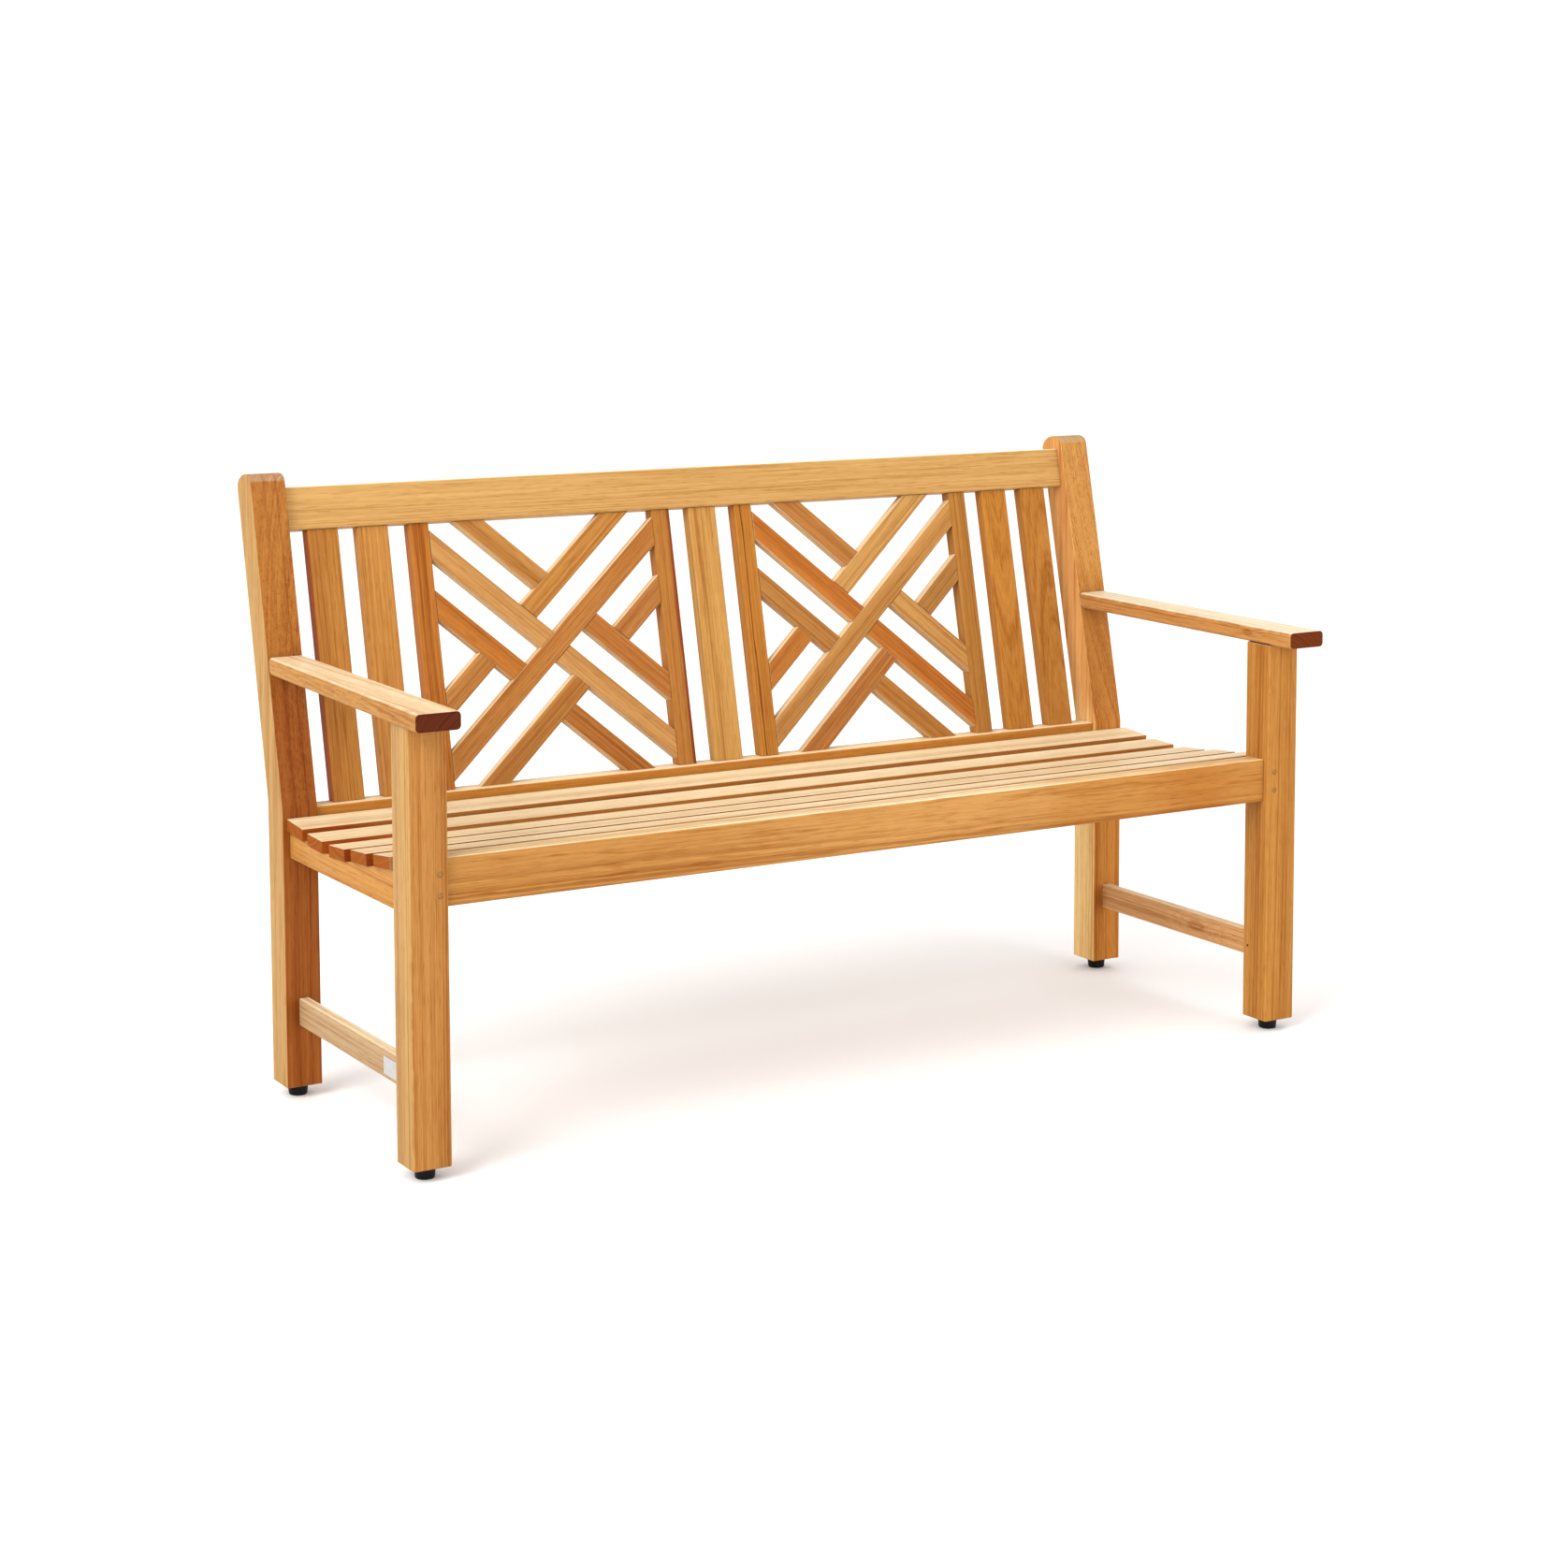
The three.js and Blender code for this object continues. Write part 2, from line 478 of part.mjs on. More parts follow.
for (const [panel, x0, x1] of [
  ['left', STILE_X[0] + STILE_W / 2, STILE_X[1] - STILE_W / 2],
  ['right', STILE_X[2] + STILE_W / 2, STILE_X[3] - STILE_W / 2],
]) {
  const middle = [(x0 + x1) / 2, BACK_H / 2];
  const rising = (k) => shift({ p: middle, d: [Math.cos(BAR_ANGLE), Math.sin(BAR_ANGLE)] }, k);
  const falling = (k) => shift({ p: middle, d: [Math.cos(BAR_ANGLE), -Math.sin(BAR_ANGLE)] }, k);
  const left = { p: [x0 + GAP, 0], d: [0, 1] }, right = { p: [x1 - GAP, 0], d: [0, 1] };
  const top = { p: [0, BACK_H - GAP], d: [1, 0] }, bottom = { p: [0, -THROUGH], d: [1, 0] };
  const edge = half + GAP;

  // centre line, where the bar starts and where it ends
  const bars = {
    rising_top: [rising(BAR_PITCH), falling(edge), top],
    rising_left: [rising(BAR_PITCH), left, falling(-BAR_PITCH - edge)],
    rising_bottom: [rising(-BAR_PITCH), bottom, falling(-edge)],
    rising_right: [rising(-BAR_PITCH), falling(BAR_PITCH + edge), right],
    falling_top: [falling(BAR_PITCH), top, rising(BAR_PITCH + edge)],
    falling_left: [falling(-BAR_PITCH), left, rising(edge)],
    falling_right: [falling(BAR_PITCH), rising(-edge), right],
    falling_bottom: [falling(-BAR_PITCH), rising(-BAR_PITCH - edge), bottom],
  };
  const tones = {
    rising_top: 'gold', rising_left: 'amber', rising_bottom: 'honey', rising_right: 'amber',
    falling_top: 'honey', falling_left: 'honey', falling_right: 'honey', falling_bottom: 'honey',
  };
  for (const [key, [centre, from, to]] of Object.entries(bars)) {
    const body = prismY(barOutline(centre, from, to), 0, BAR_T);
    const minus = from === bottom || to === bottom ? [lowCut.clone()] : [];
    add(back, `lattice_${panel}_${key}`, carve(body, { minus }), wood(tones[key]));
  }

  // the two long bars are half-lapped where they cross; the rising one lies in front
  const longRising = barOutline(rising(0), left, right), longFalling = barOutline(falling(0), left, right);
  const wideRising = barOutline(rising(0), left, right, edge), wideFalling = barOutline(falling(0), left, right, edge);
  add(back, `lattice_${panel}_rising_long`, carve(prismY(longRising, 0, BAR_T), {
    minus: [prismY(wideFalling, lapPlane, BAR_T + THROUGH)],
  }), wood('honey'));
  add(back, `lattice_${panel}_falling_long`, carve(prismY(longFalling, 0, BAR_T), {
    minus: [prismY(wideRising, -THROUGH, lapPlane + GAP)],
  }), wood(panel === 'left' ? 'honey' : 'russet'));
}

export default bench;
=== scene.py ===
"""A teak garden bench: rounded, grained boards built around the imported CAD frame.

Metres, in the row frame: +X along the bench, the front faces -Y, +Z is up.
Every board is built in its own object, whose local Z runs along the grain.
"""
import math

import bmesh
import bpy
from mathutils import Matrix, Vector


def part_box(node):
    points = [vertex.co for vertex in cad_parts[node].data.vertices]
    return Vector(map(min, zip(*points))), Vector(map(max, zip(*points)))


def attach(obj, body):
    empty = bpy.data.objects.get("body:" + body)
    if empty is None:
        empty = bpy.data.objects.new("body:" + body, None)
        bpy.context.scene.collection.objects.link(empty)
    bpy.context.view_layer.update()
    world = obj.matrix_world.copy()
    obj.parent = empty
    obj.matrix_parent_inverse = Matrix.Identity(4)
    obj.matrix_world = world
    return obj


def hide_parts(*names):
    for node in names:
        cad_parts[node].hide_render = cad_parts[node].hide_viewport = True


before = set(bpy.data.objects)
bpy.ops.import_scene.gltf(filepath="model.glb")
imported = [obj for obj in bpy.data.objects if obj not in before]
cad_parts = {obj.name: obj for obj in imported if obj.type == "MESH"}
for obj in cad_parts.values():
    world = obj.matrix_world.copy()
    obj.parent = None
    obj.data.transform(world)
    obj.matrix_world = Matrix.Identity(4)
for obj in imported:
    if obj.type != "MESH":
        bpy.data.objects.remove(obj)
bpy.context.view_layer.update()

GAP = 0.0003               # clearance between neighbouring pieces
WELD = 1e-6                # corners nearer than this are one corner
THROUGH = 0.01             # how far a cutter stands out of the face it enters
BAR_THROUGH = 0.001        # the same, for the cutters of the thin lattice bars

# ---------------------------------------------------------------- sizes, as in the CAD source
HALF_WIDTH = 0.750
FOOT_HEIGHT = 0.018
FRONT_LEG = 0.056
POST_W, POST_D, POST_FRONT_Y, POST_T = 0.0535, 0.056, 0.452, 0.054
KINK_Z, TOP_Z = 0.427, 0.903
RAKE = math.radians(12.5)
CAP_RISE, CAP_STEPS = 0.016, 14
FRONT_RAIL_Y, FRONT_RAIL_Z = (0.011, 0.047), (0.3665, 0.433)
SIDE_RAIL_X, SIDE_RAIL_BOTTOM, SIDE_RAIL_FRONT_TOP = (0.704, 0.739), 0.3555, 0.4125
STRETCHER_X, STRETCHER_Z = (0.714, 0.730), (0.109, 0.149)
BACK_RAIL_Y, BACK_RAIL_Z = (0.459, 0.493), (0.361, 0.427)
BEARER_HALF_W, BEARER_BOTTOM = 0.0125, 0.367
SLAT_T, SEAT_SLAT_X = 0.0175, (-0.7445, 0.758)
SEAT_SLATS = [             # front and rear edges of each top face, as (y, z)
    ((0.0785, 0.4273), (0.1350, 0.4208)),
    ((0.1585, 0.4170), (0.2135, 0.4127)),
    ((0.2360, 0.4089), (0.2920, 0.4052)),
    ((0.3170, 0.4052), (0.3720, 0.4071)),
    ((0.3900, 0.4097), (0.4502, 0.4146)),
]
ARM_T, ARM_FRONT_Y, ARM_FRONT_TOP, ARM_SLOPE = 0.0255, -0.050, 0.6376, 0.0104
ARM_INNER_X, ARM_FRONT_OUTER_X = 0.694, 0.7595
BACK_ORIGIN_Y, BACK_H = 0.4705, 0.4015
TOP_RAIL_H, TOP_RAIL_Y = 0.064, (-0.005, 0.025)
BACK_SLAT_T, BACK_SLAT_W, STILE_T, STILE_W = 0.020, 0.0495, 0.022, 0.032
BACK_SLAT_X = (-0.63875, -0.55925, 0.0, 0.55925, 0.63875)
STILE_X = (-0.485, -0.0745, 0.0745, 0.485)
BAR_W, BAR_T, BAR_PITCH, BAR_ANGLE = 0.033, 0.018, 0.068, math.radians(41.5)
PEG_R, PEG_FROM_INNER_FACE, PEG_Z = 0.004, 0.0124, (0.385, 0.4135)
PIN_R, PIN_Y, PIN_Z = 0.002, 0.0446, 0.1315
FOOT_R, FOOT_SOLE_R, FOOT_EDGE = 0.0152, 0.011, 0.0026
LABEL_INSET, LABEL_T, LABEL_Y, LABEL_Z = 0.020, 0.0006, (0.096, 0.141), (0.115, 0.140)

# ---------------------------------------------------------------- sizes of the visual model alone
PEG_SHOWN, PEG_HOLE = 0.0055, 0.006        # only the visible ends of pegs and pins are built
PIN_SHOWN, PIN_HOLE = 0.0036, 0.004
PEG_STEPS, FOOT_STEPS, FOOT_EDGE_STEPS = 24, 56, 6
FOOT_GROOVE_Z, FOOT_GROOVE = 0.0125, 0.0003            # fine parting line round each foot
FOOT_TOP_EASE = 0.0008
LABEL_CORNER, LABEL_CORNER_STEPS, LABEL_EASE = 0.002, 6, 0.00015
EASED_TURN, CUT_TURN = math.radians(25), math.radians(30)      # edges that turn more than this are sharp
NEARLY = 0.7               # cosine: nearer to the grain's direction than this counts as along it

TAN, SIN, COS = math.tan(RAKE), math.sin(RAKE), math.cos(RAKE)
MID_Y = -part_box("front_leg_left")[0].y      # y = 0 is the front of the front legs from here on
HOME = Matrix.Translation((0, -MID_Y, 0))
BACK = Matrix.Translation((0, BACK_ORIGIN_Y - MID_Y, KINK_Z)) @ Matrix.Rotation(-RAKE, 4, "X")
LEG_INNER_X, LEG_MID_X = HALF_WIDTH - FRONT_LEG, HALF_WIDTH - FRONT_LEG / 2
POST_INNER_X, POST_MID_X = HALF_WIDTH - POST_W, HALF_WIDTH - POST_W / 2


def post_front_y(z):
    return POST_FRONT_Y + max(0.0, z - KINK_Z) * TAN


def arm_top_z(y):
    return ARM_FRONT_TOP + ARM_SLOPE * (y - ARM_FRONT_Y)


def arm_bottom_z(y):
    return arm_top_z(y) - ARM_T


# ---------------------------------------------------------------- node helpers
def linear(hex_colour):
    """A hex colour as a linear RGBA tuple."""
    out = []
    for shift in (16, 8, 0):
        c = (hex_colour >> shift & 255) / 255
        out.append(c / 12.92 if c <= 0.04045 else ((c + 0.055) / 1.055) ** 2.4)
    return (*out, 1.0)


# how much of the soft studio light each kind of face sends back, and the satin surface's own sheen
FRONT_LIGHT, TOP_LIGHT, FLANK_LIGHT, SHEEN = 1.60, 1.20, 1.75, 0.004
LIGHT_WOOD, MID_WOOD, DARK_WOOD = (1.14, 1.20, 1.30), (1.0, 1.0, 1.0), (0.74, 0.60, 0.48)
DARKEST = 0.004            # no channel of the wood is darker


def wood_colour(seen, gain=MID_WOOD, light=FRONT_LIGHT):
    """The wood's own colour, from the colour that it shows in the soft light."""
    return (*(max(DARKEST, (c * g - SHEEN) / light) for c, g in zip(linear(seen), gain)), 1.0)


class Tree:
    """Short calls for building a node tree."""

    def __init__(self, tree):
        self.tree = tree

    def node(self, kind, **settings):
        n = self.tree.nodes.new(kind)
        for key, value in settings.items():
            setattr(n, key, value)
        return n

    def put(self, socket, value):
        if isinstance(value, bpy.types.NodeSocket):
            self.tree.links.new(value, socket)
        elif value is not None:
            socket.default_value = value

    def math(self, operation, a, b=None):
        n = self.node("ShaderNodeMath", operation=operation)
        for socket, value in zip(n.inputs, (a, b)):
            self.put(socket, value)
        return n.outputs[0]

    def add(self, total, *terms):
        for term in terms:
            total = self.math("ADD", total, term)
        return total

    def mul(self, product, *factors):
        for factor in factors:
            product = self.math("MULTIPLY", product, factor)
        return product

    def sub(self, a, b):
        return self.math("SUBTRACT", a, b)

    def vector(self, operation, a, b=None, scale=None):
        n = self.node("ShaderNodeVectorMath", operation=operation)
        self.put(n.inputs[0], a)
        self.put(n.inputs[1], b)
        if scale is not None:
            self.put(n.inputs["Scale"], scale)
        return n.outputs["Value" if operation in ("LENGTH", "DOT_PRODUCT") else "Vector"]

    def noise(self, vector=None, w=None, scale=1.0, detail=2.0, rough=0.5):
        """Smooth noise over a vector, or over the single number w."""
        n = self.node("ShaderNodeTexNoise", noise_dimensions="3D" if w is None else "1D")
        if vector is not None:
            self.put(n.inputs["Vector"], vector)
        if w is not None:
            self.put(n.inputs["W"], w)
        n.inputs["Scale"].default_value = scale
        n.inputs["Detail"].default_value = detail
        n.inputs["Roughness"].default_value = rough
        return n.outputs["Fac"]

    def remap(self, value, lo, hi, to_lo=0.0, to_hi=1.0, smooth=False):
        n = self.node("ShaderNodeMapRange", interpolation_type="SMOOTHSTEP" if smooth else "LINEAR")
        for socket, v in zip(n.inputs, (value, lo, hi, to_lo, to_hi)):
            self.put(socket, v)
        return n.outputs[0]

    def mix(self, factor, a, b, blend="MIX"):
        n = self.node("ShaderNodeMix", data_type="RGBA", blend_type=blend, clamp_factor=True)
        self.put(n.inputs[0], factor)
        self.put(n.inputs[6], a)
        self.put(n.inputs[7], b)
        return n.outputs[2]

    def tint(self, factor, colour, by):
        return self.mix(factor, colour, by, "MULTIPLY")

    def split(self, vector):
        n = self.node("ShaderNodeSeparateXYZ")
        self.put(n.inputs[0], vector)
        return n.outputs

    def join(self, x, y, z):
        n = self.node("ShaderNodeCombineXYZ")
        for socket, v in zip(n.inputs, (x, y, z)):
            self.put(socket, v)
        return n.outputs[0]

    def surface(self, colour, rough, specular, height, strength, distance, ior=None):
        """The shader, its bump and the material's output."""
        shader = self.node("ShaderNodeBsdfPrincipled")
        self.put(shader.inputs["Base Color"], colour)
        self.put(shader.inputs["Roughness"], rough)
        shader.inputs["Specular IOR Level"].default_value = specular
        if ior is not None:
            shader.inputs["IOR"].default_value = ior
        bump = self.node("ShaderNodeBump")
        bump.inputs["Strength"].default_value = strength
        bump.inputs["Distance"].default_value = distance
        self.put(bump.inputs["Height"], height)
        self.put(shader.inputs["Normal"], bump.outputs[0])
        self.put(self.node("ShaderNodeOutputMaterial").inputs["Surface"], shader.outputs[0])


def new_material(name):
    """A material without nodes, its tree, and the object's own coordinates in it."""
    m = bpy.data.materials.new(name)
    m.use_nodes = True
    m.node_tree.nodes.clear()
    t = Tree(m.node_tree)
    return m, t, t.node("ShaderNodeTexCoord").outputs["Object"]


# ---------------------------------------------------------------- the wood
# multiplied in
PORE = (0.42, 0.27, 0.17, 1)           # open pores
FLECK = (0.80, 0.66, 0.50, 1)          # short darker patches that follow the grain
END_RING = (0.45, 0.38, 0.36, 1)       # dark rings in the end grain
KNOT_DARK, KNOT_PALE = (0.50, 0.34, 0.24, 1), (0.98, 0.86, 0.74, 1)
# as they look in the soft light; the first two are painted sheen, the pale colours painted on tops and on
# faces that look left
TOP_SHEEN, LEFT_SHEEN, END_GRAIN = 0xF9E1B5, 0xDCAC68, 0x8A4A26
GOLD, AMBER, RUSSET, PALE = 0xDAA661, 0xC37F38, 0xB0622A, 0xDCAE74

# noises, in waves per metre across, across and along the grain
FIBRES, THREADS, PORES = (430, 430, 2.4), (1300, 1300, 7.0), (1000, 1000, 40.0)
MOTTLE, FLECKS, FLAME = (16, 16, 3.0), (170, 170, 11.0), (90, 90, 28.0)
END_DOTS, WEAR_PATCHES, WAVER = (1300, 1300, 1300), (30, 30, 45), (60, 60, 9)
LINES_PER_RING, BANDS_PER_RING = 3.7, 0.17
SEED_STEP, SEED_START, SEED_Y, SEED_Z = 3.17, 1.3, 1.7, 0.31   # spreads the seeds through the noise
# how far each texture pulls the tone, which runs from 0, the palest wood, to 1, the darkest
PULL = dict(rings=2.1, lines=0.7, bands=2.2, fibre=1.5, threads=0.8, mottle=1.5, flame=0.35)
PORE_STRENGTH = 0.3
ROUGH, FIBRE_ROUGH, PORE_ROUGH, END_ROUGH, MOTTLE_ROUGH = 0.43, 0.20, 0.12, 0.22, 0.12
RING_HEIGHT, FIBRE_HEIGHT, PORE_DEPTH = 0.35, 0.45, 0.6
ZONE_REACH = 0.05                      # how softly a zone along a board begins and ends
GRAIN_INPUTS = {
    "NodeSocketVector": ("Coords", "Local Normal", "World Normal"),
    "NodeSocketColor": ("Light", "Mid", "Dark", "Flank", "End"),
    "NodeSocketFloat": ("Seed", "Ring Scale", "Ring Strength", "Band Strength", "Fibre Strength",
                        "Mottle Strength", "Fleck Strength", "Wear And Highlight", "Top Sheen", "Side Sheen", "End From"),
}
GRAIN_OUTPUTS = {"Color": "NodeSocketColor", "Roughness": "NodeSocketFloat", "Height": "NodeSocketFloat"}


def make_grain_group():
    """Solid teak: growth rings round a pith line, fibres, pores, mottling, end grain and eased edges, with
    painted sheen on tops and left faces and painted highlights along the eased edges.
    """
    group = bpy.data.node_groups.new("teak_grain", "ShaderNodeTree")
    for kind, names in GRAIN_INPUTS.items():
        for name in names:
            group.interface.new_socket(name, in_out="INPUT", socket_type=kind)
    for name, kind in GRAIN_OUTPUTS.items():
        group.interface.new_socket(name, in_out="OUTPUT", socket_type=kind)
    t = Tree(group)
    inp = t.node("NodeGroupInput").outputs
    out = t.node("NodeGroupOutput").inputs
    p, seed = inp["Coords"], inp["Seed"]
    q = t.vector("ADD", p, t.join(seed, t.mul(seed, SEED_Y), t.mul(seed, SEED_Z)))

    def texture(waves, **settings):
        return t.noise(t.vector("MULTIPLY", q, waves), **settings)

    def wander(waves, reach, offset):
        """Side steps of the grain, in x and y."""
        stretched = t.vector("MULTIPLY", q, (waves, waves, waves * 0.12))
        a = t.noise(t.vector("ADD", stretched, (offset, 0, 0)), detail=1.0)
        b = t.noise(t.vector("ADD", stretched, (0, offset + 5, 0)), detail=1.0)
        return t.vector("SCALE", t.vector("ADD", t.join(a, b, 0.5), (-0.5, -0.5, -0.5)), scale=reach)

    # the pith line wanders slowly and the fibres waver finely
    bent = t.vector("ADD", t.vector("ADD", p, wander(9.0, 0.009, 3.0)), wander(60.0, 0.0014, 11.0))
    x, y, _ = t.split(bent)
    r = t.math("SQRT", t.add(t.mul(x, x), t.mul(y, y)))
    ring_w = t.add(t.mul(r, inp["Ring Scale"]), seed)
    rings = t.noise(w=ring_w, detail=2.5, rough=0.62)
    lines = t.noise(w=t.mul(ring_w, LINES_PER_RING), detail=1.0)
    bands = t.noise(w=t.mul(ring_w, BANDS_PER_RING), detail=1.5)

    fibre = texture(FIBRES, rough=0.6)
    threads = texture(THREADS, detail=1.0)
    pores = t.remap(texture(PORES, detail=0.0), 0.60, 0.74, smooth=True)
    mottle = texture(MOTTLE)
    flecks = t.remap(texture(FLECKS), 0.54, 0.70, smooth=True)
    flame = texture(FLAME, detail=1.0)

    def pull(texture_value, strength, key):
        return t.mul(t.sub(texture_value, 0.5), inp[strength], PULL[key])

    tone = t.add(0.5,
                 pull(rings, "Ring Strength", "rings"), pull(lines, "Ring Strength", "lines"),
                 pull(bands, "Band Strength", "bands"), pull(fibre, "Fibre Strength", "fibre"),
                 pull(threads, "Fibre Strength", "threads"), pull(mottle, "Mottle Strength", "mottle"),
                 pull(flame, "Mottle Strength", "flame"))

    # painted sheen: tops are painted paler, as the light's sheen would make them, and the outer left faces a
    # little less
    wx, _, wz = t.split(inp["World Normal"])
    top = t.mul(t.remap(wz, 0.5, 0.92, smooth=True), inp["Top Sheen"])
    flank = t.mul(t.remap(wx, -0.35, -0.66, smooth=True), inp["Side Sheen"])
    shades = []
    for shade, gain in (("Light", LIGHT_WOOD), ("Mid", MID_WOOD), ("Dark", DARK_WOOD)):
        c = t.mix(flank, inp[shade], t.vector("MULTIPLY", inp["Flank"], gain))
        shades.append(t.mix(top, c, wood_colour(TOP_SHEEN, gain, TOP_LIGHT)))
    pale = t.mix(t.remap(tone, 0.0, 0.5), shades[0], shades[1])
    colour = t.mix(t.remap(tone, 0.5, 1.0), pale, shades[2])
    colour = t.tint(t.mul(pores, PORE_STRENGTH), colour, PORE)
    colour = t.tint(t.mul(flecks, inp["Fleck Strength"]), colour, FLECK)

    # end grain drinks more oil: it is darker and redder, with the rings as arcs
    nz = t.math("ABSOLUTE", t.split(inp["Local Normal"])[2])
    end = t.remap(nz, inp["End From"], t.add(inp["End From"], 0.35), smooth=True)
    end_tone = t.add(t.mul(rings, 0.9), t.mul(texture(END_DOTS, detail=1.0), 0.5))
    end_colour = t.mix(t.remap(end_tone, 0.35, 1.05), inp["End"], t.tint(1.0, inp["End"], END_RING))
    colour = t.mix(end, colour, end_colour)

    # eased edges: handled wood, a little paler in patches, and painted highlights along the arrises
    edge = t.node("ShaderNodeAttribute", attribute_name="eased").outputs["Fac"]
    pale_edge = t.mul(edge, inp["Wear And Highlight"], t.remap(texture(WEAR_PATCHES), 0.40, 0.68, 0.15, 0.75))
    t.put(out["Color"], t.mix(t.mul(pale_edge, t.sub(1.0, end)), colour, shades[0]))
    t.put(out["Roughness"], t.add(ROUGH, t.mul(t.sub(fibre, 0.5), FIBRE_ROUGH), t.mul(pores, PORE_ROUGH),
                                  t.mul(end, END_ROUGH), t.mul(t.sub(mottle, 0.5), MOTTLE_ROUGH)))
    raised = t.add(t.mul(rings, RING_HEIGHT), t.mul(fibre, FIBRE_HEIGHT))
    t.put(out["Height"], t.sub(raised, t.mul(pores, PORE_DEPTH)))
    return group


GRAIN = make_grain_group()


def wood(name, tone, seed, pith=(0.11, 0.09), tilt=(0.4, 0.3), ring=300, rings=0.6, bands=0.45, fibre=1.0,
         mottle=0.3, fleck=0.35, wear_and_highlight=1.0, top=0.85, flank=0.0, flank_tone=LEFT_SHEEN,
         flank_light=FLANK_LIGHT, end=END_GRAIN, end_from=0.55, faces=(), zones=(), flank_zones=(),
         streaks=(), knots=()):
    """One board's own wood. pith is where the heart of the tree would lie, across the board; tilt turns the
    grain, in degrees. faces are (local direction, colour, amount); zones are (along from, along to, colour,
    amount), with flank_zones for the local -X face alone, and streaks (place across, half width, colour,
    amount), in metres from the board's middle; knots are (centre, size), in the board's own frame. flank is
    how far the faces that look to the left are painted paler, a painted sheen, and top the same for those
    that look up."""
    m, t, coords = new_material(name)
    world_normal = t.node("ShaderNodeNewGeometry").outputs["Normal"]
    to_local = t.node("ShaderNodeVectorTransform", vector_type="NORMAL",
                      convert_from="WORLD", convert_to="OBJECT")
    t.put(to_local.inputs[0], world_normal)
    normal = to_local.outputs[0]
    mapping = t.node("ShaderNodeMapping", vector_type="TEXTURE")
    t.put(mapping.inputs["Vector"], coords)
    mapping.inputs["Location"].default_value = (pith[0], pith[1], 0)
    mapping.inputs["Rotation"].default_value = (math.radians(tilt[0]), math.radians(tilt[1]), 0)
    p = mapping.outputs[0]
    knot_masks = []
    for centre, size in knots:     # the grain flows round each knot
        away = t.vector("MULTIPLY", t.vector("SUBTRACT", coords, centre), (1 / size, 1 / size, 0.42 / size))
        d = t.vector("LENGTH", away)
        push = t.remap(d, 0.0, 4.0, 1.0, 0.0, smooth=True)
        p = t.vector("ADD", p, t.vector("SCALE", (1.0, 1.0, 0.0), scale=t.mul(push, 0.9 * size)))
        knot_masks.append((d, t.remap(d, 0.55, 1.25, 1.0, 0.0, smooth=True)))

    g = t.node("ShaderNodeGroup")
    g.node_tree = GRAIN
    light, mid, dark = (wood_colour(tone, gain) for gain in (LIGHT_WOOD, MID_WOOD, DARK_WOOD))
    for key, value in {
        "Coords": p, "Local Normal": normal, "World Normal": world_normal,
        "Light": light, "Mid": mid, "Dark": dark, "End": wood_colour(end),
        "Flank": wood_colour(flank_tone, MID_WOOD, flank_light), "Seed": seed * SEED_STEP + SEED_START,
        "Ring Scale": float(ring), "Ring Strength": rings, "Band Strength": bands, "Fibre Strength": fibre,
        "Mottle Strength": mottle, "Fleck Strength": fleck, "Wear And Highlight": wear_and_highlight, "Top Sheen": top,
        "Side Sheen": flank, "End From": end_from,
    }.items():
        t.put(g.inputs[key], value)
    colour = g.outputs["Color"]

    waver = t.mul(t.sub(t.noise(t.vector("MULTIPLY", coords, WAVER)), 0.5), 0.12)
    on_flank = t.remap(t.vector("DOT_PRODUCT", normal, (-1, 0, 0)), 0.5, 0.92, smooth=True)
    off_flank = t.sub(1.0, on_flank) if flank else 1.0
    along = t.add(t.split(coords)[2], waver)
    placed = [(zone, off_flank) for zone in zones] + [(zone, on_flank) for zone in flank_zones]
    for (start, stop, tint, amount), where in placed:
        up = t.remap(along, start - ZONE_REACH, start + ZONE_REACH, smooth=True)
        down = t.remap(along, stop - ZONE_REACH, stop + ZONE_REACH, 1.0, 0.0, smooth=True)
        colour = t.tint(t.mul(up, down, amount, where), colour, linear(tint))
    across = t.add(t.split(coords)[0], t.mul(waver, 0.05))
    for place, half, tint, amount in streaks:
        off = t.math("ABSOLUTE", t.sub(across, place))
        strip = t.mul(t.remap(off, half * 0.6, half * 1.3, 1.0, 0.0, smooth=True), amount)
        colour = t.tint(strip, colour, linear(tint))
    for direction, tint, amount in faces:
        facing = t.vector("DOT_PRODUCT", normal, direction)
        colour = t.tint(t.mul(t.remap(facing, 0.2, 0.6, smooth=True), amount), colour, linear(tint))
    for d, mask in knot_masks:
        arcs = t.noise(w=t.mul(d, 5.0))
        colour = t.tint(t.mul(mask, 0.85), colour, t.mix(arcs, KNOT_DARK, KNOT_PALE))
    t.surface(colour, g.outputs["Roughness"], 0.06, g.outputs["Height"], 0.35, 0.00035, ior=1.45)
    return m


# ---------------------------------------------------------------- board meshes
def polygon_prism(bm, points_a, points_b):
    """A closed body between two matching outlines of 3-D points."""
    a = [bm.verts.new(p) for p in points_a]
    b = [bm.verts.new(p) for p in points_b]
    count = len(a)
    for i in range(count):
        j = (i + 1) % count
        bm.faces.new((a[i], a[j], b[j], b[i]))
    bm.faces.new(a[::-1])
    bm.faces.new(b)
    bmesh.ops.recalc_face_normals(bm, faces=bm.faces)


def sweep_x(outline, x0, x1):
    bm = bmesh.new()
    polygon_prism(bm, [(x0, y, z) for y, z in outline], [(x1, y, z) for y, z in outline])
    return bm


def sweep_y(outline, y0, y1):
    bm = bmesh.new()
    polygon_prism(bm, [(x, y0, z) for x, z in outline], [(x, y1, z) for x, z in outline])
    return bm


def box(x, y, z):
    return sweep_x([(y[0], z[0]), (y[1], z[0]), (y[1], z[1]), (y[0], z[1])], x[0], x[1])


def circle(radius, steps):
    turns = [math.tau * i / steps for i in range(steps)]
    return [(radius * math.cos(turn), radius * math.sin(turn)) for turn in turns]


